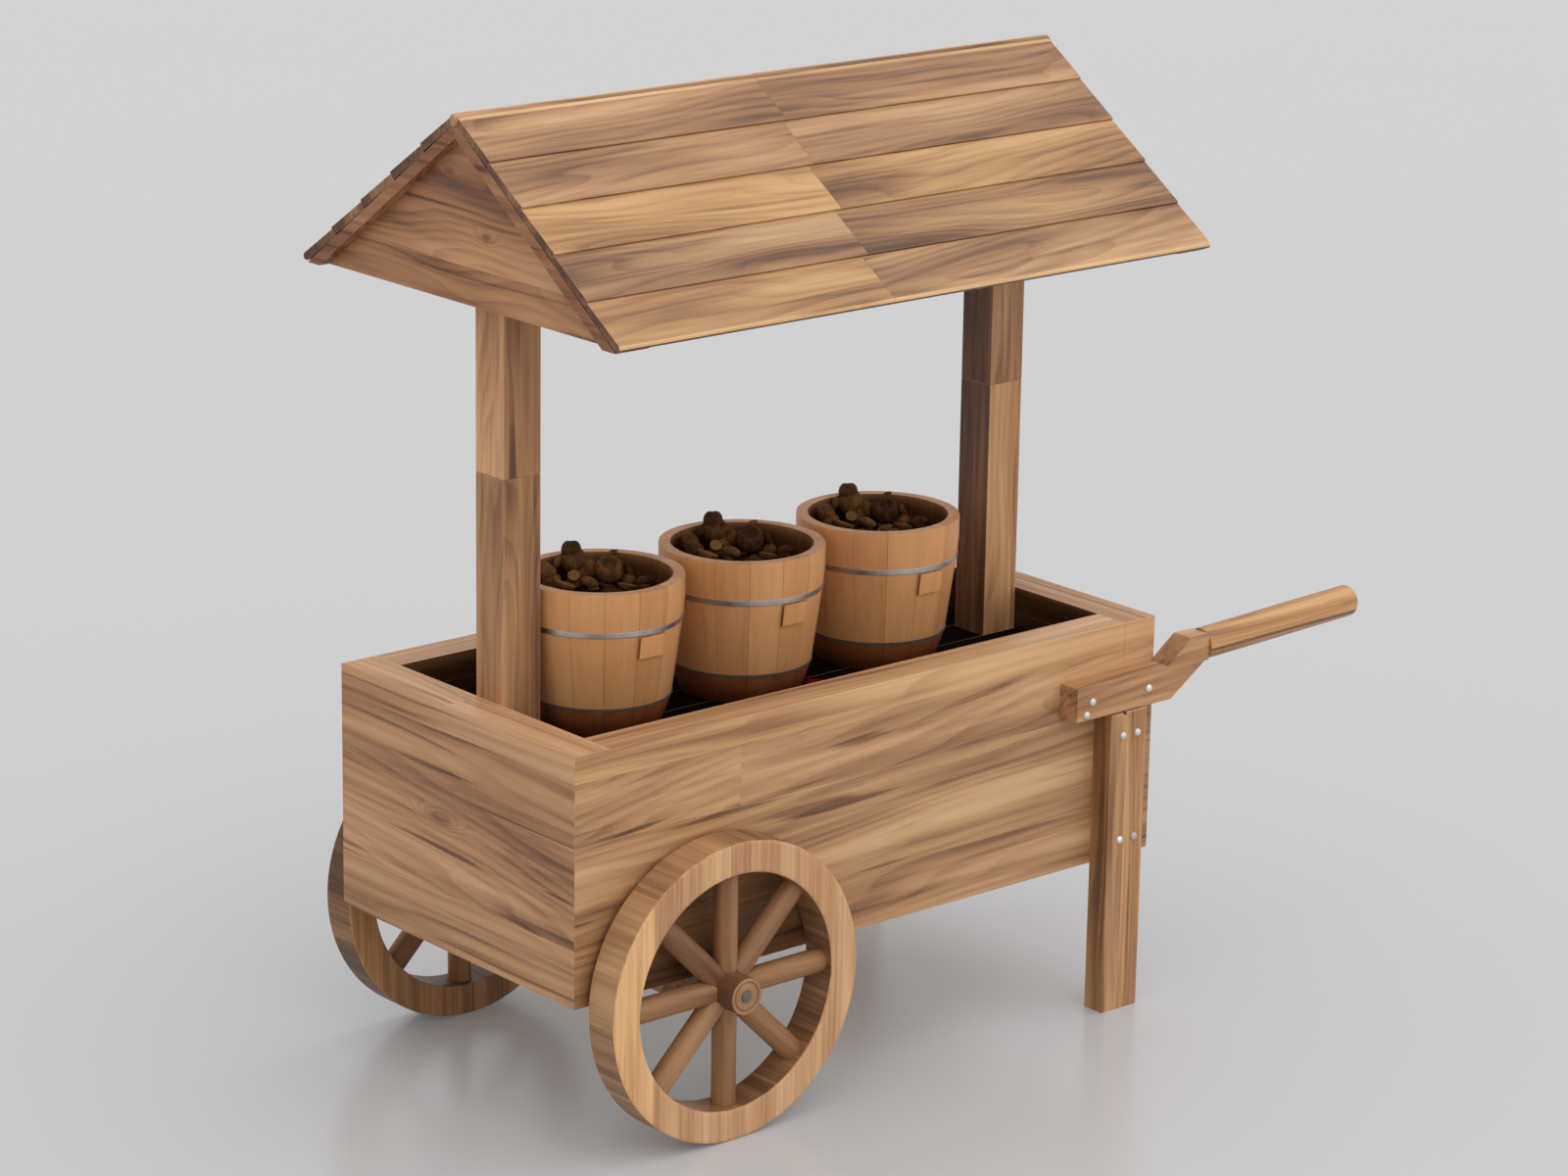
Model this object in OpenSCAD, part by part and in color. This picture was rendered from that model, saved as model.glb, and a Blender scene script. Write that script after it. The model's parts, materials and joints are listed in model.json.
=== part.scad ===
// Nut vendor's hand cart: a thick-walled timber tray on two spoked wheels and two legs,
// a gabled roof on two posts, one bolted handle, and three hooped barrels of nuts.
// +Z is up, +X runs along the cart to the handle, -Y is the handle's side, ground at z = 0.

/* [Tray] */
// Length of the tray, end face to end face
tray_len = 1500; // [1440:10:2000]
// Width of the tray over its long walls
tray_wid = 740; // [700:10:1000]
// Height of the tray's walls
wall_h = 498; // [440:2:560]
// Thickness of the long walls
long_wall_t = 80; // [50:1:96]
// Thickness of the end walls
end_wall_t = 84; // [50:1:102]
// Thickness of the bottom floor
floor_t = 28; // [18:1:40]
// How far the bottom floor is set up inside the walls
floor_rise = 30; // [20:1:60]
// Depth of the display deck below the rim
deck_drop = 88; // [60:1:140]
// Thickness of the display deck
deck_t = 28; // [18:1:40]
// Width of the ledger strips under the deck
ledger_w = 40; // [25:1:60]
// Height of the ledger strips under the deck
ledger_h = 50; // [30:1:80]

/* [Running gear] */
// Distance from the tray's wheel end to the axle
wheel_x = 323; // [280:1:420]
// Outer radius of the wheels
wheel_r = 300; // [250:1:360]
// Thickness of the rim, measured along a spoke
rim_t = 63; // [40:1:80]
// Width of the rim across the tread
rim_w = 80; // [60:1:110]
// Running gap between a wheel and the tray's side
wheel_gap = 12; // [8:1:40]
// Radius of the turned hub
hub_r = 37; // [30:1:50]
// How far the hub stands out past the rim
hub_proud = 26; // [5:1:60]
// Diameter of the dowel spokes
spoke_d = 48; // [25:1:54]
// Diameter of the steel axle
axle_d = 24; // [16:1:34]
// How far the axle's end stands out past the hub
axle_proud = 2; // [1:1:10]
// Side of the square axle beam under the floor
beam_w = 88; // [60:1:110]

/* [Legs and handle] */
// Width of a leg along the tray
leg_w = 98; // [70:1:130]
// Thickness of the legs and of the handle arm
arm_t = 52; // [35:1:70]
// Distance from a leg's outer edge to the handle end of the tray
leg_inset = 66; // [10:1:120]
// Gap between the near leg's top and the handle arm
leg_gap = 3; // [1:1:8]
// Depth of the arm's top below the tray's rim
arm_drop = 94; // [60:1:160]
// Depth of the arm where it lies on the tray
arm_h = 72; // [60:1:90]
// Length of the arm that lies on the tray
arm_back = 262; // [210:1:300]
// How far the arm's underside climbs past the tray
arm_rise = 64; // [30:1:90]
// Depth of the arm at its tip
arm_tip_h = 56; // [45:1:64]
// Distance from the tray's end face to the arm's tip
arm_reach = 109; // [105:1:200]
// Radius of the round grip
grip_r = 33; // [22:1:38]
// Length of the round grip
grip_len = 441; // [250:1:500]
// Upward tilt of the grip, in degrees
grip_tilt = 2; // [0:0.5:6]
// Radius of the grip's rounded end
grip_round = 9; // [3:1:15]
// Diameter of the bolts' domed heads
bolt_head_d = 17; // [12:1:24]
// Diameter of the bolts' shanks
bolt_d = 8; // [5:1:10]
// Length of the bolts' shanks under the head
bolt_len = 96; // [80:1:110]

/* [Posts] */
// Side of the square roof posts
post_w = 88; // [60:1:110]
// Height of the joint in each post above the tray's rim
splice_rise = 443; // [200:1:600]

/* [Roof] */
// Height of the ridge above the tray's rim
ridge_rise = 1143; // [1080:1:1400]
// Pitch of the roof, in degrees
roof_pitch = 35.8; // [30:0.2:40]
// Overhang of an eave past the tray's side
eave_over = 121; // [70:1:150]
// How far the roof boards stop short of the tray's end faces
roof_inset = 5; // [0:1:12]
// Thickness of the roof boards
board_t = 16; // [10:1:24]
// How far each board's lower edge stands above the next board
board_lap = 4; // [1:1:8]
// Width of the rake strips along the cart
rake_w = 25; // [15:1:36]
// Depth of the rake strips below the boards
rake_h = 22; // [15:1:40]

/* [Barrels] */
// Radius of a barrel at its mouth
barrel_r = 166; // [140:1:178]
// Radius of a barrel at its foot
barrel_foot_r = 122; // [100:1:135]
// Height of a barrel
barrel_h = 298; // [250:2:380]
// Thickness of the staves
stave_t = 24; // [14:1:30]
// Thickness of the barrel's bottom board
base_t = 20; // [12:1:30]
// Gap between the wheel-end post and the first barrel
barrel_start = 11; // [5:1:30]
// Gap between the barrels' mouths
barrel_space = 27; // [10:1:40]
// Height of the thin hoop's lower edge above the barrel's foot
thin_hoop_z = 58; // [30:1:90]
// Height of the thin hoop itself
thin_hoop_h = 6; // [4:1:12]
// Distance from the barrel's rim down to the upper hoop
hoop_drop = 76; // [50:1:110]
// Height of the upper hoop itself
hoop_h = 11; // [6:1:20]
// Thickness of both hoops
hoop_t = 1.5; // [1:0.5:3]
// Thickness of the small wooden tag under the upper hoop
tag_t = 5; // [3:1:10]
// Depth of the nuts' bed below the barrel's rim
nut_drop = 49; // [40:1:74]

/* [Hidden] */
$fn = 96;

wood = "#c8965f";
barrel_wood = "#c68a52";
lining = "#1c1f1a";
steel = "#9a9ea3";
nut_brown = "#5a3420";

// clearances
running = 0.05;    // radial, a hub on the axle
snug = 0.15;       // radial, a fixed round fit
seat = 0.1;        // between glued faces that are curved or mitred
notch_gap = 2;     // around a post where it passes the deck
fill_gap = 0.3;    // between the nuts and the staves
board_joint = 0.2; // between neighbouring roof boards
over = 1;          // how far a cutting shape runs past what it cuts

// places along X, from the cart's middle
grip_end = arm_reach + (grip_len - grip_round) * cos(grip_tilt)
    + (grip_r - grip_round) * sin(grip_tilt) + grip_round;
wheel_over = max(0, wheel_r - wheel_x);
overall_len = wheel_over + tray_len + grip_end;
x_wheel_end = wheel_over - overall_len / 2;
x_handle_end = x_wheel_end + tray_len;
x_axle = x_wheel_end + wheel_x;

// levels, up from the axle: the tray's floor rests on the axle beam
floor_z = wheel_r + beam_w / 2;
floor_top = floor_z + floor_t;
tray_bottom = floor_z - floor_rise;
tray_top = tray_bottom + wall_h;
deck_top = tray_top - deck_drop;
deck_z = deck_top - deck_t;

// inside of the tray
inner_y = tray_wid / 2 - long_wall_t;
inner_x0 = x_wheel_end + end_wall_t;
inner_x1 = x_handle_end - end_wall_t;

// wheels
spoke_count = 8;
rim_inner_r = wheel_r - rim_t;
wheel_face_y = tray_wid / 2 + wheel_gap;      // inner face of a rim
wheel_mid_y = wheel_face_y + rim_w / 2;
hub_end_y = wheel_face_y + rim_w + hub_proud;
sector_a = 360 / spoke_count / 2;

// roof, with slope distances u down from the ridge and v out from the gable's edge
ridge_z = tray_top + ridge_rise;
splice_z = tray_top + splice_rise;
roof_half = tray_wid / 2 + eave_over;
board_count = 5;
eave_v = board_t + board_lap;
slope_len = (roof_half - eave_v * sin(roof_pitch)) / cos(roof_pitch);
board_w = slope_len / board_count;
gable_top = ridge_z - board_t / cos(roof_pitch);
gable_bottom = gable_top - slope_len * sin(roof_pitch) + board_lap * cos(roof_pitch);
gable_half = (gable_top - gable_bottom) / tan(roof_pitch);
rake_drop = rake_h / cos(roof_pitch);
rake_half = (gable_top - rake_drop - gable_bottom) / tan(roof_pitch);
gable_t = end_wall_t - roof_inset - rake_w;

// legs and handle
leg_x1 = x_handle_end - leg_inset;
leg_x0 = leg_x1 - leg_w;
arm_z = tray_top - arm_drop - arm_h;
leg_top = arm_z - leg_gap;
arm_x0 = x_handle_end - arm_back;
tip_x = x_handle_end + arm_reach;
tip_z = arm_z + arm_rise;
knee_back = 10;      // the arm's upper knee starts this far before the end face
knee_low = 2;        // and its lower knee this far past it
tip_flat = 12;       // level stretch under the tip
tip_crown = 53;      // level stretch on top of the tip
head_h = 6;          // rise of a bolt's domed head
leg_bolt_step = 40;    // between the bolts of a pair
leg_bolt_shift = 4;    // from the leg's middle towards the handle end
leg_bolt_drop = 49;    // from the leg's top down to the upper pair
leg_bolt_up = 57;      // from the tray's bottom up to the lower pair
leg_bolt_x = (leg_x0 + leg_x1) / 2 + leg_bolt_shift;
leg_bolts = [
    for (z = [leg_top - leg_bolt_drop, tray_bottom + leg_bolt_up])
        for (side = [-1, 1])
            [leg_bolt_x + side * leg_bolt_step / 2, z]
];
back_bolts = [[41, 37], [25, 12]];   // in from the arm's back end, up from its underside
front_bolt = [63, 36];               // in from the tray's end face, up from the underside
arm_bolts = concat(
    [for (p = back_bolts) [arm_x0 + p[0], arm_z + p[1]]],
    [[x_handle_end - front_bolt[0], arm_z + front_bolt[1]]]
);

// barrels
barrel_x0 = inner_x0 + post_w + barrel_start + barrel_r;
barrel_pitch = 2 * barrel_r + barrel_space;
barrel_xs = [for (i = [0:2]) barrel_x0 + i * barrel_pitch];
upper_hoop_z = barrel_h - hoop_drop;
shoulder_drop = 42;   // from the rim down to where a barrel's side turns upright
shoulder_z = barrel_h - shoulder_drop;
foot_flare = 19;      // how much wider a barrel is at its thin hoop than at its foot
knuckle_r = barrel_foot_r + foot_flare;
belly_in = 3;         // how much narrower it is at the upper hoop than at its mouth
belly_r = barrel_r - belly_in;
tag_w = 58;
tag_h = 45;
tag_gap = 2;          // between the upper hoop and a tag
tag_turn = -90;       // the tag's bearing on its barrel, from +X
nut_level = barrel_h - nut_drop;

// nuts heaped on the bed: [x, y, height of the middle above the bed, radius]
heap_nuts = [
    [24, 112, 40, 25],
    [25, 116, 66, 17],
    [68, 55, 22, 27],
    [-48, 106, 29, 20],
    [-4, 123, 46, 13],
    [48, 90, 24, 20],
    [-2, 78, 21, 14],
    [-43, 54, 16, 19],
    [6, 39, 15, 16],
    [14, -19, 11, 17],
    [59, -12, 11, 17],
    [103, -13, 14, 15],
    [84, -33, 11, 13],
    [101, 35, 21, 13],
    [97, 85, 52, 12]
];
// nuts that carry the heap
under_nuts = [
    [30, 100, 14, 24],
    [92, 80, 26, 20],
    [-42, 96, 8, 22],
    [-2, 80, 4, 16],
    [98, 30, 4, 16]
];
// nuts on the near side of the bed
near_nuts = [
    [-85, 47, 8, 22],
    [-85, -6, 6, 20],
    [-44, -28, 4, 19],
    [-44, -81, 6, 22],
    [-87, -63, 4, 18],
    [10, -88, 6, 21],
    [56, -88, 4, 18],
    [-114, -18, 6, 17],
    [-5, -121, 5, 16]
];

// straight block from low corner to high corner
module block(low, high) {
    translate(low)
        cube(high - low);
}

// the long wall on side s: -1 near, 1 far
module long_wall(s) {
    y0 = inner_y;
    y1 = tray_wid / 2;
    color(wood)
        difference() {
            block(
                [inner_x0, min(s * y0, s * y1), tray_bottom],
                [inner_x1, max(s * y0, s * y1), tray_top]
            );
            bolt_bores(s, leg_bolts);
            if (s < 0)
                bolt_bores(s, arm_bolts);
        }
}

// an end wall whose outer face is at x and that runs inwards to x + dx
module end_wall(x, dx) {
    color(wood)
        difference() {
            block(
                [min(x, x + dx), -tray_wid / 2, tray_bottom],
                [max(x, x + dx), tray_wid / 2, tray_top]
            );
            bolt_bores(-1, arm_bolts);
            bolt_bores(-1, leg_bolts);
            bolt_bores(1, leg_bolts);
        }
}

module tray_floor() {
    color(wood)
        block([inner_x0, -inner_y, floor_z], [inner_x1, inner_y, floor_top]);
}

// square notches where the two posts pass, cut clear by gap
module post_notches(gap, z0, z1) {
    block(
        [inner_x0 - over, -post_w / 2 - gap, z0],
        [inner_x0 + post_w + gap, post_w / 2 + gap, z1]
    );
    block(
        [inner_x1 - post_w - gap, -post_w / 2 - gap, z0],
        [inner_x1 + over, post_w / 2 + gap, z1]
    );
}

module display_deck() {
    color(lining)
        difference() {
            block([inner_x0, -inner_y, deck_z], [inner_x1, inner_y, deck_top]);
            post_notches(notch_gap, deck_z - over, deck_top + over);
        }
}

// the strip that carries the deck along side s
module ledger(s) {
    y0 = s * (inner_y - ledger_w);
    y1 = s * inner_y;
    color(wood)
        block(
            [inner_x0, min(y0, y1), deck_z - ledger_h],
            [inner_x1, max(y0, y1), deck_z]
        );
}

// cylinder of radius r along +Y from y0 to y1, over the axle's line
module axle_round(r, y0, y1) {
    translate([x_axle, y0, wheel_r])
        rotate([-90, 0, 0])
            cylinder(r = r, h = y1 - y0);
}

module axle_beam() {
    color(wood)
        difference() {
            block(
                [x_axle - beam_w / 2, -inner_y, floor_z - beam_w],
                [x_axle + beam_w / 2, inner_y, floor_z]
            );
            axle_round(axle_d / 2 + snug, -inner_y - over, inner_y + over);
        }
}

module axle() {
    half = hub_end_y + axle_proud;
    color(steel)
        axle_round(axle_d / 2, -half, half);
}

// turns what is drawn for the far side to side s
module on_side(s) {
    if (s < 0)
        mirror([0, 1, 0])
            children();
    else
        children();
}

module wheel_rim(s) {
    color(wood)
        on_side(s)
            difference() {
                axle_round(wheel_r, wheel_face_y, wheel_face_y + rim_w);
                axle_round(rim_inner_r, wheel_face_y - over, wheel_face_y + rim_w + over);
            }
}

module wheel_hub(s) {
    color(wood)
        on_side(s)
            difference() {
                axle_round(hub_r, wheel_face_y, hub_end_y);
                axle_round(axle_d / 2 + running, wheel_face_y - over, hub_end_y + over);
            }
}

// one spoke along +Z: a dowel, mitred where it meets its neighbours round the hub
module spoke() {
    mitre = [
        [0, 0],
        [wheel_r * tan(sector_a), wheel_r],
        [-wheel_r * tan(sector_a), wheel_r]
    ];
    intersection() {
        translate([0, 0, hub_r / 2])
            cylinder(d = spoke_d, h = wheel_r - hub_r / 2);
        rotate([90, 0, 0])
            difference() {
                cylinder(r = rim_inner_r - seat, h = rim_w, center = true);
                cylinder(r = hub_r + seat, h = rim_w + over, center = true);
            }
        translate([0, 0, seat / sin(sector_a)])
            rotate([90, 0, 0])
                linear_extrude(height = rim_w, center = true)
                    polygon(mitre);
    }
}

module wheel_spokes(s) {
    color(wood)
        on_side(s)
            translate([x_axle, wheel_mid_y, wheel_r])
                for (i = [0:spoke_count - 1])
                    rotate([0, i * 360 / spoke_count, 0])
                        spoke();
}

// shank bores for the bolts at [x, z] places, driven in from side s
module bolt_bores(s, places) {
    for (p = places)
        on_side(s)
            translate([p[0], tray_wid / 2 + arm_t + over, p[1]])
                rotate([90, 0, 0])
                    cylinder(d = bolt_d + 2 * snug, h = bolt_len + 2 * over);
}

// dome-headed bolts at [x, z] places on side s
module bolts(s, places) {
    ball_r = (head_h * head_h + bolt_head_d * bolt_head_d / 4) / (2 * head_h);
    color(steel)
        for (p = places)
            on_side(s)
                translate([p[0], tray_wid / 2 + arm_t, p[1]])
                    rotate([-90, 0, 0]) {
                        translate([0, 0, -bolt_len])
                            cylinder(d = bolt_d, h = bolt_len);
                        intersection() {
                            translate([0, 0, head_h - ball_r])
                                sphere(r = ball_r);
                            cylinder(d = bolt_head_d, h = head_h);
                        }
                    }
}

module leg(s) {
    y0 = s * tray_wid / 2;
    y1 = s * (tray_wid / 2 + arm_t);
    color(wood)
        difference() {
            block([leg_x0, min(y0, y1), 0], [leg_x1, max(y0, y1), leg_top]);
            bolt_bores(s, leg_bolts);
        }
}

// side outline of the cranked arm
arm_outline = [
    [arm_x0, arm_z],
    [x_handle_end + knee_low, arm_z],
    [tip_x - tip_flat, tip_z],
    [tip_x, tip_z],
    [tip_x, tip_z + arm_tip_h],
    [tip_x - tip_crown, tip_z + arm_tip_h],
    [x_handle_end - knee_back, arm_z + arm_h],
    [arm_x0, arm_z + arm_h]
];

module handle_arm() {
    color(wood)
        difference() {
            translate([0, -tray_wid / 2, 0])
                rotate([90, 0, 0])
                    linear_extrude(height = arm_t)
                        polygon(arm_outline);
            bolt_bores(-1, arm_bolts);
        }
}

module handle_grip() {
    root = 10;   // spare length, trimmed off square at the arm's tip
    color(wood)
        difference() {
            translate([tip_x, -tray_wid / 2 - arm_t / 2, tip_z + arm_tip_h / 2])
                rotate([0, 90 - grip_tilt, 0])
                    rotate_extrude()
                        union() {
                            translate([0, -root])
                                square([grip_r, root + grip_len - grip_round]);
                            translate([0, grip_len - grip_round])
                                square([grip_r - grip_round, grip_round]);
                            translate([grip_r - grip_round, grip_len - grip_round])
                                intersection() {
                                    circle(r = grip_round);
                                    square(grip_round);
                                }
                        }
            block(
                [tip_x - tip_crown, -tray_wid, tip_z - grip_r],
                [tip_x, 0, tip_z + arm_tip_h + grip_r]
            );
        }
}

// a post's length between z0 and z1, at the end whose inner corner is x and dx inwards
module post_length(x, dx, z0, z1) {
    block(
        [min(x, x + dx), -post_w / 2, z0],
        [max(x, x + dx), post_w / 2, z1]
    );
}

// the upper length is cut to the roof's slope under the boards
module post_upper(x, dx) {
    shoulder = gable_top - (post_w / 2) * tan(roof_pitch);
    color(wood)
        translate([min(x, x + dx), 0, 0])
            rotate([90, 0, 90])
                linear_extrude(height = post_w)
                    polygon([
                        [-post_w / 2, splice_z],
                        [post_w / 2, splice_z],
                        [post_w / 2, shoulder],
                        [0, gable_top],
                        [-post_w / 2, shoulder]
                    ]);
}

module post_lower(x, dx) {
    color(wood)
        post_length(x, dx, floor_top, splice_z);
}

// a gable panel that starts at x
module gable(x) {
    color(wood)
        translate([x, 0, 0])
            rotate([90, 0, 90])
                linear_extrude(height = gable_t)
                    polygon([
                        [-gable_half, gable_bottom],
                        [gable_half, gable_bottom],
                        [0, gable_top]
                    ]);
}

// a rake strip on side s that starts at x
module rake(x, s) {
    color(wood)
        translate([x, 0, 0])
            rotate([90, 0, 90])
                linear_extrude(height = rake_w)
                    polygon([
                        [0, gable_top],
                        [0, gable_top - rake_drop],
                        [s * rake_half, gable_bottom],
                        [s * gable_half, gable_bottom]
                    ]);
}

// the point u down the slope and v out from it, on side s, as [y, z]
function slope_point(s, u, v) = [
    s * (u * cos(roof_pitch) + v * sin(roof_pitch)),
    gable_top - u * sin(roof_pitch) + v * cos(roof_pitch)
];

// roof board i, counted down from the ridge: the first is mitred at the ridge
module roof_board(s, i) {
    u0 = i * board_w + (i == 0 ? 0 : board_joint);
    u1 = (i + 1) * board_w;
    mitre = i == 0 ? board_t * tan(roof_pitch) : 0;
    color(wood)
        translate([x_wheel_end + roof_inset, 0, 0])
            rotate([90, 0, 90])
                linear_extrude(height = tray_len - 2 * roof_inset)
                    polygon([
                        slope_point(s, u0, 0),
                        slope_point(s, u1, board_lap),
                        slope_point(s, u1, eave_v),
                        slope_point(s, u0 - mitre, board_t)
                    ]);
}

// outer outline of a barrel as [radius, height], narrowest at its foot
barrel_outline = [
    [barrel_foot_r, 0],
    [knuckle_r, thin_hoop_z],
    [belly_r, upper_hoop_z],
    [barrel_r, shoulder_z],
    [barrel_r, barrel_h]
];

// radius of a barrel's outside at height z, up to its shoulder
function barrel_radius(z) = z < thin_hoop_z
    ? barrel_foot_r + (knuckle_r - barrel_foot_r) * z / thin_hoop_z
    : knuckle_r + (belly_r - knuckle_r) * (z - thin_hoop_z) / (upper_hoop_z - thin_hoop_z);

// inside outline of a barrel, drawn in by gap
function bore_points(gap) = [
    for (p = barrel_outline)
        [p[0] - stave_t - gap, p[1]]
];

module at_barrel(i) {
    translate([barrel_xs[i], 0, deck_top])
        children();
}

module barrel_staves(i) {
    inside = bore_points(0);
    ring = concat(barrel_outline, [for (k = [len(inside) - 1:-1:0]) inside[k]]);
    color(barrel_wood)
        at_barrel(i)
            rotate_extrude()
                polygon(ring);
}

module barrel_base(i) {
    inside = bore_points(snug);
    slope = (knuckle_r - barrel_foot_r) / thin_hoop_z;
    color(barrel_wood)
        at_barrel(i)
            rotate_extrude()
                polygon([
                    [0, 0],
                    inside[0],
                    [inside[0][0] + slope * base_t, base_t],
                    [0, base_t]
                ]);
}

// a hoop of height h whose lower edge is at z
module hoop(z, h) {
    r0 = barrel_radius(z) + seat;
    r1 = barrel_radius(z + h) + seat;
    rotate_extrude()
        polygon([[r0, z], [r0 + hoop_t, z], [r1 + hoop_t, z + h], [r1, z + h]]);
}

module barrel_hoops(i) {
    color(steel)
        at_barrel(i) {
            hoop(thin_hoop_z, thin_hoop_h);
            hoop(upper_hoop_z - hoop_h, hoop_h);
        }
}

// the small blank block on one stave, under the upper hoop
module barrel_tag(i) {
    top = upper_hoop_z - hoop_h - tag_gap;
    lean = atan((belly_r - knuckle_r) / (upper_hoop_z - thin_hoop_z));
    color(barrel_wood)
        at_barrel(i)
            rotate([0, 0, tag_turn])
                translate([barrel_radius(top) + seat, 0, top])
                    rotate([0, lean, 0])
                        translate([0, -tag_w / 2, -tag_h])
                            cube([tag_t, tag_w, tag_h]);
}

module barrel_tags() {
    for (i = [0:len(barrel_xs) - 1])
        barrel_tag(i);
}

// the barrel's filling up to the bed, with the top nuts on it
module barrel_nuts(i) {
    inside = bore_points(fill_gap);
    slope = (knuckle_r - barrel_foot_r) / thin_hoop_z;
    seat_z = base_t + fill_gap;
    color(nut_brown)
        at_barrel(i)
            union() {
                rotate_extrude()
                    polygon([
                        [0, seat_z],
                        [inside[0][0] + slope * seat_z, seat_z],
                        inside[1],
                        inside[2],
                        [inside[2][0], nut_level],
                        [0, nut_level]
                    ]);
                for (n = concat(heap_nuts, under_nuts, near_nuts))
                    translate([n[0], n[1], nut_level + n[2]])
                        sphere(r = n[3]);
            }
}

tray_floor();
display_deck();
ledger(-1);  // near_ledger
ledger(1);  // far_ledger
long_wall(-1);  // near_long_wall
long_wall(1);  // far_long_wall
end_wall(x_wheel_end, end_wall_t);  // wheel_end_wall
end_wall(x_handle_end, -end_wall_t);  // handle_end_wall
axle_beam();
axle();
wheel_rim(-1);  // near_wheel_rim
wheel_spokes(-1);  // near_wheel_spokes
wheel_hub(-1);  // near_wheel_hub
wheel_rim(1);  // far_wheel_rim
wheel_spokes(1);  // far_wheel_spokes
wheel_hub(1);  // far_wheel_hub
leg(-1);  // near_leg
leg(1);  // far_leg
bolts(-1, leg_bolts);  // near_leg_bolts
bolts(1, leg_bolts);  // far_leg_bolts
handle_arm();
handle_grip();
bolts(-1, arm_bolts);  // handle_bolts
post_lower(inner_x0, post_w);  // wheel_end_post_lower
post_upper(inner_x0, post_w);  // wheel_end_post_upper
post_lower(inner_x1, -post_w);  // handle_end_post_lower
post_upper(inner_x1, -post_w);  // handle_end_post_upper
gable(inner_x0 - gable_t);  // wheel_end_gable
gable(inner_x1);  // handle_end_gable
rake(x_wheel_end + roof_inset, -1);  // wheel_end_near_rake
rake(x_wheel_end + roof_inset, 1);  // wheel_end_far_rake
rake(x_handle_end - roof_inset - rake_w, -1);  // handle_end_near_rake
rake(x_handle_end - roof_inset - rake_w, 1);  // handle_end_far_rake
roof_board(-1, 0);  // near_roof_board_1
roof_board(-1, 1);  // near_roof_board_2
roof_board(-1, 2);  // near_roof_board_3
roof_board(-1, 3);  // near_roof_board_4
roof_board(-1, 4);  // near_roof_board_5
roof_board(1, 0);  // far_roof_board_1
roof_board(1, 1);  // far_roof_board_2
roof_board(1, 2);  // far_roof_board_3
roof_board(1, 3);  // far_roof_board_4
roof_board(1, 4);  // far_roof_board_5
barrel_staves(0);  // barrel_1_staves
barrel_staves(1);  // barrel_2_staves
barrel_staves(2);  // barrel_3_staves
barrel_base(0);  // barrel_1_base
barrel_base(1);  // barrel_2_base
barrel_base(2);  // barrel_3_base
barrel_hoops(0);  // barrel_1_hoops
barrel_hoops(1);  // barrel_2_hoops
barrel_hoops(2);  // barrel_3_hoops
barrel_tags();
barrel_nuts(0);  // barrel_1_nuts
barrel_nuts(1);  // barrel_2_nuts
barrel_nuts(2);  // barrel_3_nuts
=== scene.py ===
# Looks for the nut vendor's hand cart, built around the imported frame.
# Lengths are in metres: +Z up, +X towards the handle, -Y the side that carries it.
import json
import math
import random
from functools import partial

import bmesh
import bpy
from mathutils import Matrix, Vector, noise

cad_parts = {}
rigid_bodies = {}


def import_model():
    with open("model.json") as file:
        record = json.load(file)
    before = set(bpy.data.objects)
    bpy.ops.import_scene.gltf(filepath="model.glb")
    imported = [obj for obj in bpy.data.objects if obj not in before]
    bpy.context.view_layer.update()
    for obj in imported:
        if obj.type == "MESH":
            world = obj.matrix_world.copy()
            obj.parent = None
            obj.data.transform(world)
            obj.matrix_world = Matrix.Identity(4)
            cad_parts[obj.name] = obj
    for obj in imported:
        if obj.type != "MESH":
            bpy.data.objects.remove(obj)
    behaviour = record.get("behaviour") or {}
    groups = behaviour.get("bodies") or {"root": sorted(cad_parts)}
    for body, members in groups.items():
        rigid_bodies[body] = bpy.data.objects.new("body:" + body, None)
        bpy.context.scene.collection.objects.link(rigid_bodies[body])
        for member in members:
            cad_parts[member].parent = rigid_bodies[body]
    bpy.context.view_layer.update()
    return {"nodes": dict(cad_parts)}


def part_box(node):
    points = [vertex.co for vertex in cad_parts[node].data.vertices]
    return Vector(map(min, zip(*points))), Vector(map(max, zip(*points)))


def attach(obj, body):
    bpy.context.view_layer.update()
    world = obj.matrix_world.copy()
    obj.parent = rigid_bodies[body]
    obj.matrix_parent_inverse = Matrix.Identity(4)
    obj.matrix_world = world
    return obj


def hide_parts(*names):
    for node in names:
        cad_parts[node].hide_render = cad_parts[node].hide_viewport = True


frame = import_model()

scene = bpy.context.scene


def say(text):
    print("cart:", text)


class Term:
    # one output socket that can be written in sums

    def __init__(self, sheet, socket):
        self.sheet, self.socket = sheet, socket

    def maths(self, operation, first, second=0.0):
        return self.sheet.node("ShaderNodeMath", {"operation": operation}, {0: first, 1: second})

    def __add__(self, other):
        return self.maths("ADD", self, other)

    __radd__ = __add__

    def __sub__(self, other):
        return self.maths("SUBTRACT", self, other)

    def __rsub__(self, other):
        return self.maths("SUBTRACT", other, self)

    def __mul__(self, other):
        return self.maths("MULTIPLY", self, other)

    __rmul__ = __mul__

    def __truediv__(self, other):
        return self.maths("DIVIDE", self, other)

    def __rtruediv__(self, other):
        return self.maths("DIVIDE", other, self)

    def __pow__(self, other):
        return self.maths("POWER", self, other)

    def size(self):
        return self.maths("ABSOLUTE", self)

    def fract(self):
        return self.maths("FRACT", self)

    def over(self, low, high):
        # 0 at low, 1 at high, smooth between
        return self.sheet.node(
            "ShaderNodeMapRange", {"interpolation_type": "SMOOTHSTEP"},
            {"Value": self, "From Min": low, "From Max": high})

    def larger(self, other):
        return self.maths("MAXIMUM", self, other)


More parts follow.
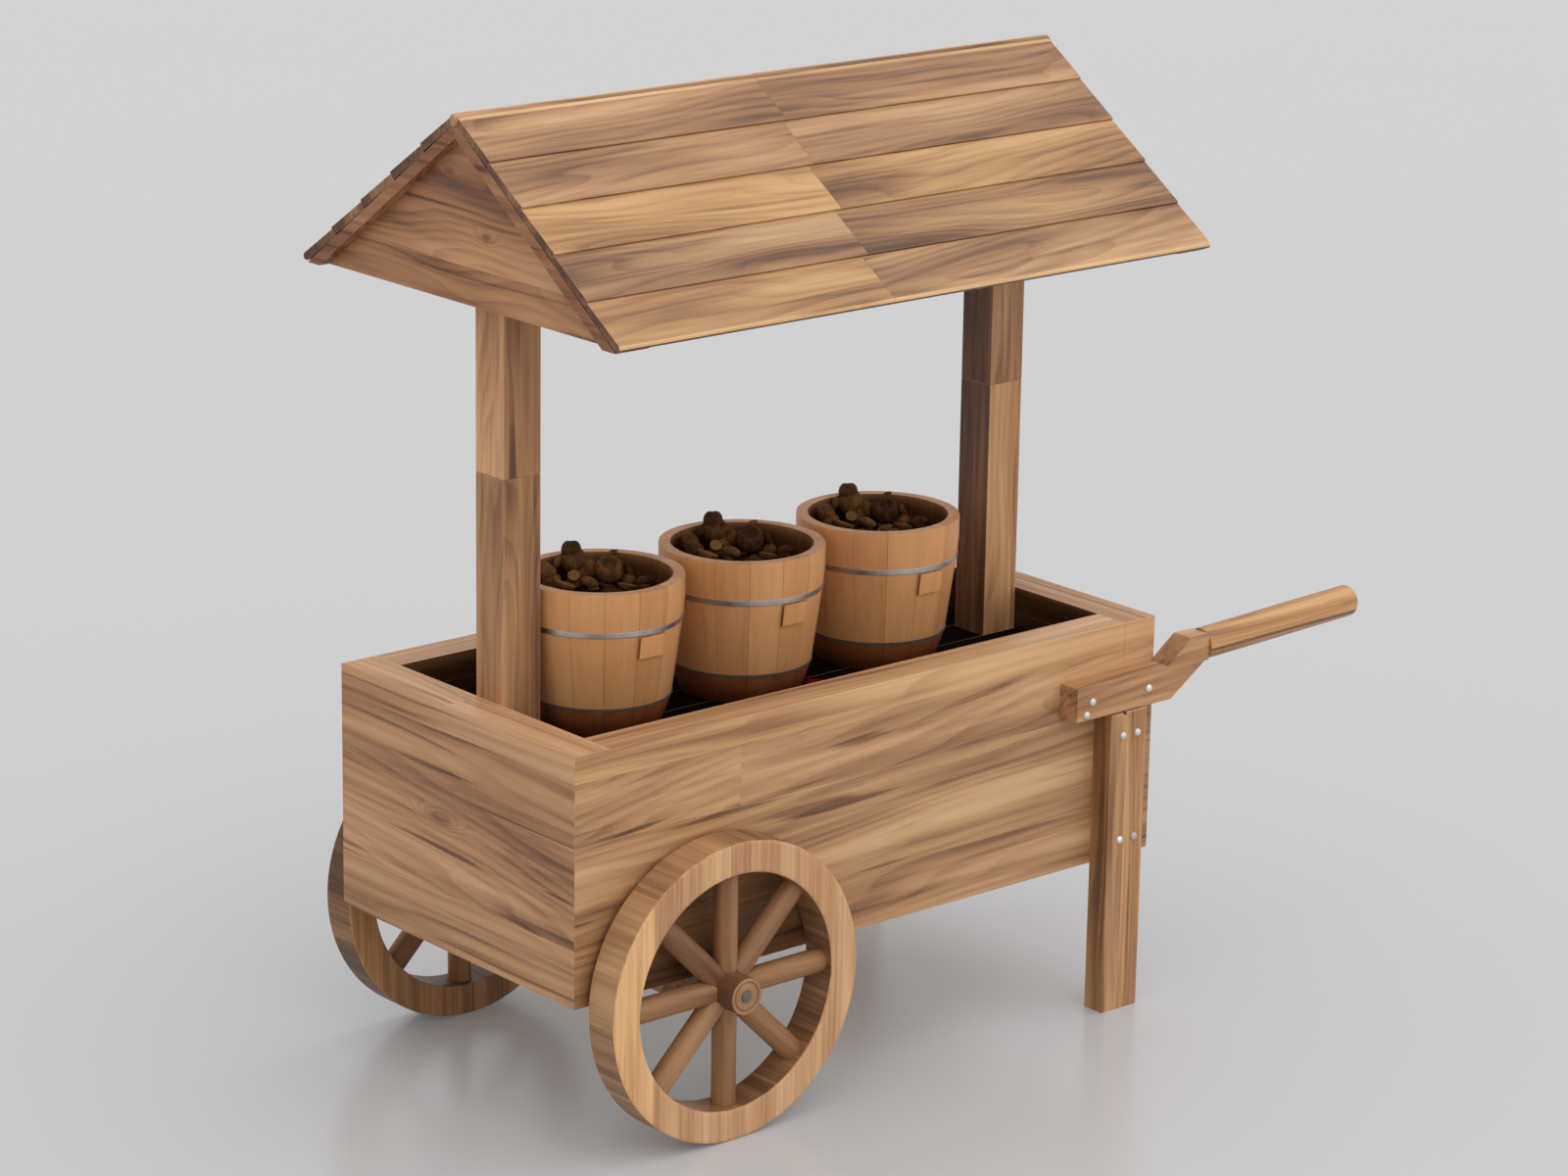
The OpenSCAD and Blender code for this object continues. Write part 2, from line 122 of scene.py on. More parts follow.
class Sheet:
    # a shader or geometry tree that nodes are added to

    def __init__(self, tree):
        self.tree = tree

    def node(self, kind, settings=None, inputs=None, output=0):
        made = self.tree.nodes.new(kind)
        for key, value in (settings or {}).items():
            if key == "stops":
                self.setStops(made.color_ramp, value)
            else:
                setattr(made, key, value)
        for key, value in (inputs or {}).items():
            if isinstance(value, Term):
                self.tree.links.new(value.socket, made.inputs[key])
            else:
                made.inputs[key].default_value = value
        return Term(self, made.outputs[output])

    def setStops(self, ramp, stops):
        while len(ramp.elements) < len(stops):
            ramp.elements.new(0.5)
        for element, (place, colour) in zip(ramp.elements, stops):
            element.position, element.color = place, (*colour, 1.0)

    def join(self, x, y, z):
        return self.node("ShaderNodeCombineXYZ", {}, {0: x, 1: y, 2: z})

    def split(self, vector):
        first = self.node("ShaderNodeSeparateXYZ", {}, {0: vector})
        return [Term(self, socket) for socket in first.socket.node.outputs]

    def noise(self, vector, detail=2.0, rough=0.5, scale=1.0, output=0):
        return self.node(
            "ShaderNodeTexNoise", {},
            {"Vector": vector, "Scale": scale, "Detail": detail, "Roughness": rough}, output)

    def mix(self, factor, first, second, blend="MIX"):
        def solid(value):
            return value if isinstance(value, Term) else (*value, 1.0)
        return self.node(
            "ShaderNodeMix", {"data_type": "RGBA", "blend_type": blend},
            {0: factor, 6: solid(first), 7: solid(second)}, 2)

    def scaled(self, colour, amount):
        return self.node("ShaderNodeVectorMath", {"operation": "SCALE"}, {0: colour, "Scale": amount})

    def value(self, amount):
        made = self.node("ShaderNodeValue")
        made.socket.default_value = amount
        return made

    def attribute(self, name, output):
        return self.node("ShaderNodeAttribute", {"attribute_name": name}, {}, output)

    def place(self):
        return self.node("ShaderNodeTexCoord", {}, {}, "Object")

    def length(self, vector):
        return self.node("ShaderNodeVectorMath", {"operation": "LENGTH"}, {0: vector}, "Value")

    def distance(self, first, second):
        return self.node(
            "ShaderNodeVectorMath", {"operation": "DISTANCE"}, {0: first, 1: second}, "Value")

    def times(self, first, second):
        return self.mix(1.0, first, second, "MULTIPLY")


class Finish(Sheet):
    # a material and its surface shader

    def __init__(self, name, roughness=0.5, specular=0.5, metallic=0.0):
        self.material = bpy.data.materials.new(name)
        self.material.use_nodes = True
        super().__init__(self.material.node_tree)
        self.shader = self.tree.nodes["Principled BSDF"]
        self.shader.inputs["Roughness"].default_value = roughness
        self.shader.inputs["Specular IOR Level"].default_value = specular
        self.shader.inputs["Metallic"].default_value = metallic

    def give(self, name, value):
        self.tree.links.new(value.socket, self.shader.inputs[name])

    def bump(self, height, distance, strength=1.0):
        self.give("Normal", self.node(
            "ShaderNodeBump", {}, {"Strength": strength, "Distance": distance, "Height": height}))


# streaks are counted per metre, along and across the grain
wood = {
    "slow": (0.9, 4.0), "field": (0.9, 8.0), "broad": (0.6, 24.0), "middle": (0.9, 75.0),
    "dark": (0.65, 50.0), "fibre": (8.0, 420.0),
    "waver": 0.045, "level": 0.42, "fieldPart": 0.95, "broadPart": 1.05,
    "middlePart": 0.40, "darkPart": 0.40, "ringPart": 0.17, "fibrePart": 0.15,
    "rings": 46.0, "ringPull": 7.0, "toneSpread": 0.0, "light": 1.0, "tint": (1.0, 1.0, 1.0),
    "eyes": (), "eyeRings": 3.5,   # knots: place, and how fast they fade along each axis
    "ringRise": (0.25, 0.93), "ringMean": 0.31, "darkSpan": (0.09, 0.23), "shadeSpan": (-0.16, 1.16),
    "toneShift": (37.0, 11.3, 5.9), "cutShade": 0.5, "cutFade": 0.40,
    "goldenTint": (1.06, 1.00, 0.80), "ruddyTint": (1.02, 0.92, 0.92),
    "wornColour": (0.70, 0.47, 0.27), "wornPart": 0.16, "paintedShadeColour": (0.10, 0.085, 0.055),
    "stops": [
        (0.00, (0.720, 0.450, 0.240)),
        (0.28, (0.545, 0.305, 0.145)),
        (0.55, (0.385, 0.198, 0.092)),
        (0.78, (0.225, 0.108, 0.053)),
        (1.00, (0.115, 0.055, 0.030)),
    ],
}


def woodFinish(name, look, grainAxis=None, matt=False):
    look = {**wood, **look}
    finish = Finish(name, roughness=0.42, specular=0.0 if matt else 0.35)
    if grainAxis:
        place = finish.split(finish.place())
        along, across, deep = [place[i] for i in axisOrder[grainAxis]]
    else:
        along, across, deep = finish.split(finish.attribute("grain", "Vector"))
    tone = finish.attribute("tone", "Fac")
    # each board's own cut: darker, more golden, more slanting
    darker, golden, lean = finish.split(finish.attribute("cut", "Vector"))
    slant = along * lean
    shift = [tone * amount for amount in look["toneShift"]]
    along, across, deep = along + shift[0], across + slant + shift[1], deep + slant + shift[2]

    def streaks(key, offset, detail=2.0, rough=0.5, output=0):
        lengthwise, crosswise = look[key]
        return finish.noise(
            finish.join(along * lengthwise + offset, across * crosswise, deep * crosswise),
            detail, rough, output=output)

    drift = finish.split(streaks("slow", 3.1, output=1))
    across, deep = [way + (by - 0.5) * look["waver"] for way, by in ((across, drift[0]), (deep, drift[1]))]
    field = streaks("field", 5.3, 1.0) - 0.5
    broad = streaks("broad", 0.0, 3.0, 0.55) - 0.5
    eye = finish.value(0.0)
    for spot, fade in look["eyes"]:
        place = finish.split(finish.place())
        reach = finish.length(finish.join(*[(c - at) * f for c, at, f in zip(place, spot, fade)]))
        eye = eye + (1.0 - (reach + field * 0.5 + broad).over(0.0, 1.0))
    middle = streaks("middle", 7.7, 2.0, 0.6) - 0.5
    fibre = streaks("fibre", 1.3, 2.0, 0.6) - 0.5
    dark = (streaks("dark", 9.1, 1.5) - 0.5).over(*look["darkSpan"])
    # a growth ring darkens slowly and ends in a sharp line
    turns = ((across + deep * 0.8) * look["rings"] + (field + broad * 0.12) * look["ringPull"]
             + eye * look["eyeRings"]).fract()
    start, end = look["ringRise"]
    ring = (turns.over(start, end) - turns.over(end, 1.0)) * (broad * 1.6 + 0.8)
    shade = (look["level"] + field * look["fieldPart"] + broad * look["broadPart"]
             + middle * look["middlePart"] + dark * look["darkPart"] + eye ** 3.0 * 0.35
             + (ring - look["ringMean"]) * look["ringPart"] + fibre * look["fibrePart"]
             + darker * look["cutShade"] + (tone - 0.5) * look["toneSpread"]).over(*look["shadeSpan"])
    colour = finish.node("ShaderNodeValToRGB", {"stops": look["stops"]}, {"Fac": shade})
    colour = finish.mix(golden, colour, finish.times(colour, look["goldenTint"]))
    colour = finish.mix(0.0 - golden, colour, finish.times(colour, look["ruddyTint"]))
    colour = finish.times(colour, tuple(look["light"] * part for part in look["tint"]))
    colour = finish.scaled(colour, 1.0 - darker * look["cutFade"])
    worn = finish.attribute("edge", "Fac") * look["wornPart"]
    colour = finish.mix(worn, colour, look["wornColour"])
    if "extra" in look:
        colour = look["extra"](finish, colour)
    # painted shade: faces marked for it are mixed towards the shade colour
    dusk = finish.attribute("dusk", "Fac").over(0.0, 1.0)
    finish.give("Base Color", finish.mix(dusk, colour, finish.times(colour, look["paintedShadeColour"])))
    finish.give("Roughness", shade * 0.10 + fibre * 0.18 + (0.75 if matt else 0.38))
    finish.bump(fibre + middle * 0.8, 0.00035, 0.6)
    return finish.material


axisPlace = {
    "x": lambda h, a, b: Vector((h, a, b)),
    "y": lambda h, a, b: Vector((a, h, b)),
    "z": lambda h, a, b: Vector((a, b, h)),
}
axisOrder = {"x": (0, 1, 2), "y": (1, 0, 2), "z": (2, 0, 1)}
toneDraw = random.Random(41)


def skin(solid, rings, sides, closed=False):
    # faces between rings of points, where a ring may be a single point
    for a, b in list(zip(rings, rings[1:])) + ([(rings[-1], rings[0])] if closed else []):
        for k in range(sides):
            n = (k + 1) % sides
            corners = dict.fromkeys([a[k % len(a)], a[n % len(a)], b[n % len(b)], b[k % len(b)]])
            if len(corners) > 2:
                solid.faces.new(list(corners))
    bmesh.ops.recalc_face_normals(solid, faces=solid.faces)


def lathe(solid, profile, sides, shaped=None, closed=False):
    # turns (radius, height) places round +Z; shaped may move every point; closed is for a ring's own loop
    rings = []
    for r, h in profile:
        spots = [Vector((r * math.cos(math.tau * k / sides), r * math.sin(math.tau * k / sides), h))
                 for k in range(sides if r > 1e-7 else 1)]
        rings.append([solid.verts.new(shaped(p) if shaped else p) for p in spots])
    skin(solid, rings, sides, closed)


class Stock:
    # gathers the solids of one piece, with the marks that its wood is drawn from

    def __init__(self):
        self.points, self.faces, self.smooth = [], [], []
        self.grain, self.tone, self.edge, self.dusk, self.cut = [], [], [], [], []

    def take(self, solid, grain="x", tone=None, dusk=None, smooth=False, worn=None, cut=(0, 0, 0)):
        # grain is an axis letter or a function of place, normal and the face's middle; tone and
        # cut may be functions of middle and normal, the painted shade one of place and normal; worn
        # has the rubbed faces with how much each is rubbed
        tone = toneDraw.random() if tone is None else tone
        solid.normal_update()
        start = len(self.points)
        self.points += [v.co.copy() for v in solid.verts]
        solid.verts.index_update()
        worn = worn or {}
        for face in solid.faces:
            self.faces.append([start + v.index for v in face.verts])
            self.smooth.append(smooth)
            middle, normal = face.calc_center_median(), face.normal
            ownTone = tone(middle, normal) if callable(tone) else tone
            ownCut = cut(middle, normal) if callable(cut) else cut
            for v in face.verts:
                if callable(grain):
                    self.grain.append(grain(v.co, normal, middle))
                else:
                    self.grain.append([v.co[i] for i in axisOrder[grain]])
                self.tone.append(ownTone)
                self.cut.append(ownCut)
                self.edge.append(worn.get(face, 0.0))
                self.dusk.append(dusk(v.co, normal) if dusk else 0.0)
        solid.free()
        return self

    def prism(self, outline, low, high, axis, bevel, **marks):
        # outline: places in the plane across the axis, in order of the two other axes
        solid = bmesh.new()
        ends = [[solid.verts.new(axisPlace[axis](h, a, b)) for a, b in outline] for h in (low, high)]
        solid.faces.new(ends[0])
        solid.faces.new(list(reversed(ends[1])))
        count = len(outline)
        for i in range(count):
            j = (i + 1) % count
            solid.faces.new([ends[0][j], ends[0][i], ends[1][i], ends[1][j]])
        bmesh.ops.recalc_face_normals(solid, faces=solid.faces)
        rounded = bmesh.ops.bevel(
            solid, geom=solid.edges[:], offset=bevel, segments=2, profile=0.5,
            affect="EDGES", clamp_overlap=True)["faces"]
        return self.take(solid, worn=dict.fromkeys(rounded, 1.0), **marks)

    def plank(self, low, high, bevel=0.0012, **marks):
        outline = [(low[1], low[2]), (high[1], low[2]), (high[1], high[2]), (low[1], high[2])]
        return self.prism(outline, low[0], high[0], "x", bevel, **marks)

    def turned(self, profile, segments, frameOf=None, closed=False, **marks):
        solid = bmesh.new()
        lathe(solid, profile, segments, closed=closed)
        if frameOf:
            bmesh.ops.transform(solid, matrix=frameOf, verts=solid.verts)
        return self.take(solid, smooth=True, **marks)

    def mesh(self, name, withTone=True, sharp=34):
        made = bpy.data.meshes.new(name)
        made.from_pydata(self.points, [], self.faces)
        corners = {"grain": ("FLOAT_VECTOR", "vector", [c for g in self.grain for c in g]),
                   "cut": ("FLOAT_VECTOR", "vector", [c for g in self.cut for c in g]),
                   "tone": ("FLOAT", "value", self.tone),
                   "edge": ("FLOAT", "value", self.edge),
                   "dusk": ("FLOAT", "value", self.dusk)}
        if not withTone:
            del corners["tone"]
        for key, (kind, field, values) in corners.items():
            made.attributes.new(key, kind, "CORNER").data.foreach_set(field, values)
        made.polygons.foreach_set("use_smooth", self.smooth)
        made.update()
        if any(self.smooth):
            made.set_sharp_from_angle(angle=math.radians(sharp))
        return made

    def piece(self, name, material, body, slotName, *nodes):
        made = linked(name, self.mesh(name))
        made.data.materials.append(material)
        settle(made, body, slotName, *nodes)


def halved(solid, **plane):
    # cuts everything at a plane and gives the edges of the cut
    parts = solid.verts[:] + solid.edges[:] + solid.faces[:]
    made = bmesh.ops.bisect_plane(solid, geom=parts, **plane)["geom_cut"]
    return [part for part in made if isinstance(part, bmesh.types.BMEdge)]


def linked(name, mesh):
    made = bpy.data.objects.new(name, mesh)
    scene.collection.objects.link(made)
    return made


def settle(made, body, slotName, *nodes):
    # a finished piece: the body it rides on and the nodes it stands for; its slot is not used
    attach(made, body)
    if nodes:
        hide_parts(*nodes)


def dress(node, material):
    # a node that is kept as it is gets a material
    slots = frame["nodes"][node].data.materials
    slots.clear()
    slots.append(material)


def softened(profile, reach=0.0012):
    # rounds the corners of an open profile, with a support point each side of every corner
    done = [profile[0]]
    for before, here, after in zip(profile, profile[1:], profile[2:]):
        a, b, c = Vector(before), Vector(here), Vector(after)
        back, ahead = a - b, c - b
        sides = back.length, ahead.length
        cut = min(reach, sides[0] * 0.4, sides[1] * 0.4)
        back.normalize()
        ahead.normalize()
        steps = [back * min(cut * 2.2, sides[0] * 0.5), back * cut, (back + ahead) * cut * 0.30,
                 ahead * cut, ahead * min(cut * 2.2, sides[1] * 0.5)]
        done += [tuple(b + step) for step in steps]
    done.append(profile[-1])
    return done


def ringProfile(corners, reach):
    # the closed profile of a ring, begun halfway along its last side
    middle = tuple((a + b) / 2 for a, b in zip(corners[0], corners[-1]))
    return softened([middle, *corners, middle], reach)[:-1]


def newTree(name, wanted):
    tree = bpy.data.node_groups.new(name, "GeometryNodeTree")
    tree.interface.new_socket("Geometry", in_out="INPUT", socket_type="NodeSocketGeometry")
    tree.interface.new_socket("Geometry", in_out="OUTPUT", socket_type="NodeSocketGeometry")
    for label, kind in wanted.items():
        tree.interface.new_socket(label, in_out="INPUT", socket_type="NodeSocket" + kind)
    sheet = Sheet(tree)
    entry = tree.nodes.new("NodeGroupInput")
    given = {socket.name: Term(sheet, socket) for socket in entry.outputs if socket.name}
    return sheet, given


def closeTree(sheet, given, copies):
    # every copy gets its own tone, then all become one mesh with the material
    draw = sheet.node(
        "FunctionNodeRandomValue", {"data_type": "FLOAT"},
        {2: 0.0, 3: 1.0, "ID": sheet.node("GeometryNodeInputIndex"), "Seed": given["Seed"]}, 1)
    toned = sheet.node(
        "GeometryNodeStoreNamedAttribute", {"data_type": "FLOAT", "domain": "INSTANCE"},
        {"Geometry": copies, "Name": "tone", "Value": draw})
    real = sheet.node("GeometryNodeRealizeInstances", {}, {"Geometry": toned})
    both = sheet.node("GeometryNodeJoinGeometry", {}, {"Geometry": given["Geometry"]})
    sheet.tree.links.new(real.socket, both.socket.node.inputs[0])
    painted = sheet.node(
        "GeometryNodeSetMaterial", {}, {"Geometry": both, "Material": given["Material"]})
    exitNode = sheet.tree.nodes.new("NodeGroupOutput")
    sheet.tree.links.new(painted.socket, exitNode.inputs[0])
    return sheet.tree


def ringTree():
    # copies of one object turned evenly round an axis
    sheet, given = newTree("ringOfCopies", {
        "Source": "Object", "Count": "Int", "Axis": "Vector", "Centre": "Vector",
        "Start turn": "Float", "Seed": "Int", "Material": "Material"})
    spots = sheet.node(
        "GeometryNodeMeshLine", {"mode": "OFFSET"},
        {"Count": given["Count"], "Start Location": given["Centre"], "Offset": (0.0, 0.0, 0.0)})
    step = sheet.node("GeometryNodeInputIndex") * math.tau / given["Count"] + given["Start turn"]
    turn = sheet.node("FunctionNodeAxisAngleToRotation", {}, {"Axis": given["Axis"], "Angle": step})
    shape = sheet.node("GeometryNodeObjectInfo", {}, {"Object": given["Source"]}, "Geometry")
    copies = sheet.node(
        "GeometryNodeInstanceOnPoints", {}, {"Points": spots, "Instance": shape, "Rotation": turn})
    return closeTree(sheet, given, copies)


def rowTree():
    # copies of one object side by side
    sheet, given = newTree("rowOfCopies", {
        "Source": "Object", "Count": "Int", "Start": "Vector", "Step": "Vector",
        "Seed": "Int", "Material": "Material"})
    spots = sheet.node(
        "GeometryNodeMeshLine", {"mode": "OFFSET"},
        {"Count": given["Count"], "Start Location": given["Start"], "Offset": given["Step"]})
    shape = sheet.node("GeometryNodeObjectInfo", {}, {"Object": given["Source"]}, "Geometry")
    copies = sheet.node("GeometryNodeInstanceOnPoints", {}, {"Points": spots, "Instance": shape})
    return closeTree(sheet, given, copies)


def spotsTree():
    # copies picked from a collection, set on the source's points by their kind, turn and size
    sheet, given = newTree("copiesOnSpots", {
        "Source": "Object", "Kinds": "Collection", "Seed": "Int", "Material": "Material"})
    spots = sheet.node("GeometryNodeObjectInfo", {}, {"Object": given["Source"]}, "Geometry")
    kinds = sheet.node(
        "GeometryNodeCollectionInfo", {},
        {"Collection": given["Kinds"], "Separate Children": True, "Reset Children": True})
    mark = {
        key: sheet.node("GeometryNodeInputNamedAttribute", {"data_type": kind}, {"Name": key})
        for key, kind in (("kind", "INT"), ("turn", "FLOAT_VECTOR"), ("size", "FLOAT_VECTOR"))}
    turn = sheet.node("FunctionNodeEulerToRotation", {}, {"Euler": mark["turn"]})
    copies = sheet.node(
        "GeometryNodeInstanceOnPoints", {},
        {"Points": spots, "Instance": kinds, "Pick Instance": True, "Instance Index": mark["kind"],
         "Rotation": turn, "Scale": mark["size"]})
    return closeTree(sheet, given, copies)


def grow(name, tree, source, values, body, slotName, node, base=None):
    # runs a tree on its source once, keeps the result as a plain mesh and drops the source
    made = linked(name, base or bpy.data.meshes.new(name))
    modifier = made.modifiers.new("copies", "NODES")
    modifier.node_group = tree
    values = {"Source": source, **values}
    for item in tree.interface.items_tree:
        if item.item_type == "SOCKET" and item.in_out == "INPUT" and item.name in values:
            modifier[item.identifier] = values[item.name]
    bpy.context.view_layer.update()
    graph = bpy.context.evaluated_depsgraph_get()
    mesh = bpy.data.meshes.new_from_object(made.evaluated_get(graph), depsgraph=graph)
    made.modifiers.clear()
    made.data = mesh
    mesh.name = name
    bpy.data.objects.remove(source)
    settle(made, body, slotName, node)


ringOfCopies, rowOfCopies, copiesOnSpots = ringTree(), rowTree(), spotsTree()


view = {
    "place": (-6.1331, -6.8821, 3.5555), "lens": 108.65, "yaw": 0.711, "pitch": 0.2839, "roll": 0.0163,
    "floor": 0.514, "floorTint": (0.998, 1.0, 1.010), "floorHalf": 120.0, "glow": 0.060,
    "sky": (0.61, 0.86), "skyRise": (0.30, 0.60),   # brightness low and high, and where it changes
    # name, direction of the light, its angle in degrees and its strength
    "suns": (("keyLight", (-3.2, 5.2, -5.4), 110.0, 1.02), ("sideLight", (6.0, 2.0, -3.7), 110.0, 0.36)),
}


def setCamera():
    yaw, pitch, roll = view["yaw"], view["pitch"], view["roll"]
    ahead = Vector((math.sin(yaw) * math.cos(pitch), math.cos(yaw) * math.cos(pitch), -math.sin(pitch)))
    level = Vector((math.cos(yaw), -math.sin(yaw), 0.0))
    upright = level.cross(ahead)
    right = level * math.cos(roll) + upright * math.sin(roll)
    up = upright * math.cos(roll) - level * math.sin(roll)
    turned = Matrix((right, up, -ahead)).transposed().to_4x4()
    data = bpy.data.cameras.new("camera")
    data.lens, data.sensor_width, data.sensor_fit = view["lens"], 36.0, "HORIZONTAL"
    data.clip_end = 400.0
    made = bpy.data.objects.new("camera", data)
    made.matrix_world = Matrix.Translation(view["place"]) @ turned
    scene.collection.objects.link(made)
    scene.camera = made


def softSun(name, towards, spread, strength):
    data = bpy.data.lights.new(name, "SUN")
    data.angle, data.energy = math.radians(spread), strength
    made = bpy.data.objects.new(name, data)
    made.rotation_euler = Vector(towards).to_track_quat("-Z", "Y").to_euler()
    scene.collection.objects.link(made)


def setStudio():
    world = bpy.data.worlds.new("studio")
    world.use_nodes = True
    scene.world = world
    sheet = Sheet(world.node_tree)
    upward = sheet.split(sheet.node("ShaderNodeTexCoord", {}, {}, "Generated"))[2]
    low, high = view["sky"]
    back = world.node_tree.nodes["Background"]
    back.inputs["Color"].default_value = (1.0, 1.0, 1.010, 1.0)
    strength = upward.over(*view["skyRise"]) * (high - low) + low
    sheet.tree.links.new(strength.socket, back.inputs["Strength"])
    for sun in view["suns"]:
        softSun(*sun)
    floorFinish = Finish("paleFloor", roughness=0.24, specular=0.5)
    floorFinish.shader.inputs["Emission Color"].default_value = (1.0, 1.0, 1.0, 1.0)
    floorFinish.shader.inputs["Emission Strength"].default_value = view["glow"]
    spread = floorFinish.noise(floorFinish.place(), 2.0, 0.5, 0.8)
    darker, lighter = [tuple(view["floor"] * share * part for part in view["floorTint"])
                       for share in (0.995, 1.005)]
    floorFinish.give("Base Color", floorFinish.mix(spread, darker, lighter))
    floor, half = bpy.data.meshes.new("floor"), view["floorHalf"]
    corners = [(-half, -half, 0), (half, -half, 0), (half, half, 0), (-half, half, 0)]
    floor.from_pydata(corners, [], [(0, 1, 2, 3)])
    made = linked("floor", floor)
    made.data.materials.append(floorFinish.material)
    scene.view_settings.view_transform = "Standard"


setCamera()
setStudio()
say("camera, light and floor are set")


tray = {
    "courses": (0.0, 0.116, 0.318, 0.443, 0.498),   # heights of the joints above the walls' foot
    "nearJoint": -0.625, "farJoint": -0.18, "rimJoint": 0.03,
    "joint": 0.0007, "innerShadeTop": 0.62, "innerShadeFall": 9.0,
    "longTones": {-1: 0.12, 1: 0.55}, "endTones": {"wheel_end_wall": 0.31, "handle_end_wall": 0.83},
    # darker, more golden and more slanting, from the bottom course up
    "longCuts": ((0.10, -0.3, -0.02), (-0.04, 0.0, -0.03), (0.0, -0.2, -0.04), (-0.24, 0.3, -0.01)),
    "jointedCut": (0.0, 0.1, -0.06),
    # painted shadow of a wheel on its wall: its middle off the axle, its reach, strength and colour
    "wheelShadow": {"centre": (-0.018, -0.020), "from": 0.235, "to": 0.335, "amount": 0.86,
               "colour": (0.33, 0.26, 0.19)},
    "endCuts": ((0.02, -0.2, 0.0), (0.0, -0.4, -0.03), (0.06, -0.6, -0.02), (0.02, -0.7, 0.0)),
    "litAndRubbedTopCut": (-0.24, -0.2, 0.0), "endTopCuts": ((-0.02, -0.4, 0.0), (-0.26, 0.4, 0.0)),
}
trayLow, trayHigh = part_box("wheel_end_wall")
rimZ, footZ = trayHigh.z, trayLow.z
nearLow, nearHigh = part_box("near_long_wall")
wheelLow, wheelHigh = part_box("near_wheel_rim")
axleX, axleZ = (wheelLow.x + wheelHigh.x) / 2, (wheelLow.z + wheelHigh.z) / 2


def wheelShadowPaint(finish, colour):
    # painted shadow of the wheels on the long walls, behind each wheel
    look = tray["wheelShadow"]
    x, y, z = finish.split(finish.place())
    spread = finish.noise(finish.join(x * 3.0, y, z * 14.0), 2.0) - 0.5
    centreX, centreZ = axleX + look["centre"][0], axleZ + look["centre"][1]
    away = finish.length(finish.join(x - centreX, 0.0, z - centreZ))
    shadowMask = (1.0 - (away + spread * 0.05).over(look["from"], look["to"])) * y.size().over(innerSide, outerSide)
    return finish.mix(shadowMask * look["amount"], colour, finish.times(colour, look["colour"]))


innerSide, outerSide = -nearHigh.y, -nearLow.y - 0.002   # the painted shadow is only on a wall's outside
trayWood = woodFinish("oiledTrayWood", {
    "paintedShadeColour": (0.085, 0.066, 0.036), "eyes": (((trayLow.x, 0.05, 0.578), (30.0, 9.0, 30.0)),),
    "extra": wheelShadowPaint})


def innerPaintedShade(place, normal, inward):
    # painted shade on the inside faces, darker towards the deck
    if normal.dot(inward) < 0.7:
        return 0.0
    return tray["innerShadeTop"] + (rimZ - place.z) * tray["innerShadeFall"]


def longMarks(side, course, x):
    # the run of a long wall's course: its tone and its cut, also where an end wall closes it
    joint = tray["nearJoint"] if side < 0 else tray["farJoint"]
    jointed = course == 2 and x < joint
    tone = tray["longTones"][side] + course * 0.21 + (0.47 if jointed else 0.0)
    return tone, tray["jointedCut"] if jointed else tray["longCuts"][course]


def wallCourses(low, high):
    levels = [footZ + h for h in tray["courses"]]
    return [(Vector((low.x, low.y, a)), Vector((high.x, high.y, b))) for a, b in zip(levels, levels[1:])]


def cutOn(own):
    # level faces of the rim are lighter: painted highlight on rubbed wood
    return lambda middle, normal: tray["litAndRubbedTopCut"] if normal.z > 0.7 else own


def longWall(node, side):
    low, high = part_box(node)
    inward = Vector((0, -side, 0))
    joint = tray["nearJoint"] if side < 0 else tray["farJoint"]
    stock = Stock()
    for i, (a, b) in enumerate(wallCourses(low, high)):
        parts = [(a, b)] if i != 2 else [(a, Vector((joint, b.y, b.z))), (Vector((joint, a.y, a.z)), b)]
        for c, d in parts:
            tone, cut = longMarks(side, i, (c.x + d.x) / 2)
            stock.plank(c, d, tone=tone, cut=cutOn(cut), bevel=tray["joint"],
                        dusk=lambda p, n: innerPaintedShade(p, n, inward))
    stock.piece(node + "_boards", trayWood, "cart", "tray_wood", node)


def endWall(node, inward):
    low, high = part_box(node)
    stock = Stock()
    dark = tray["endFaceDusk"]

    def grain(place, normal, middle):
        # the ends carry on the long walls' run, the faces are the end wall's own
        return (place.x, place.y, place.z) if abs(normal.y) > 0.7 else (place.y, place.x, place.z)

    for i, (a, b) in enumerate(wallCourses(low, high)):
        parts = [(a, b)]
        if i == len(tray["courses"]) - 2:
            split = tray["rimJoint"]
            parts = [(a, Vector((b.x, split, b.z))), (Vector((a.x, split, a.z)), b)]
        for k, (c, d) in enumerate(parts):
            own = tray["endTones"][node] + i * 0.19

            def tone(middle, normal, own=own, part=k * 0.13, course=i):
                if abs(normal.y) > 0.7:
                    return longMarks(1 if middle.y > 0 else -1, course, middle.x)[0]
                return own + (part if normal.z > 0.7 else 0.0)

            def cut(middle, normal, course=i, part=k):
                if abs(normal.y) > 0.7:
                    return longMarks(1 if middle.y > 0 else -1, course, middle.x)[1]
                return tray["endTopCuts"][part] if normal.z > 0.7 else tray["endCuts"][course]

            def dusk(place, normal):
                # painted shade on the board ends below the arm's foot
                if abs(normal.y) > 0.7 and place.x > 0 and place.z < dark["below"]:
                    return dark["amount"]
                return innerPaintedShade(place, normal, inward)

            stock.plank(c, d, grain=grain, tone=tone, cut=cut, bevel=tray["joint"], dusk=dusk)
    stock.piece(node + "_boards", trayWood, "cart", "tray_wood", node)


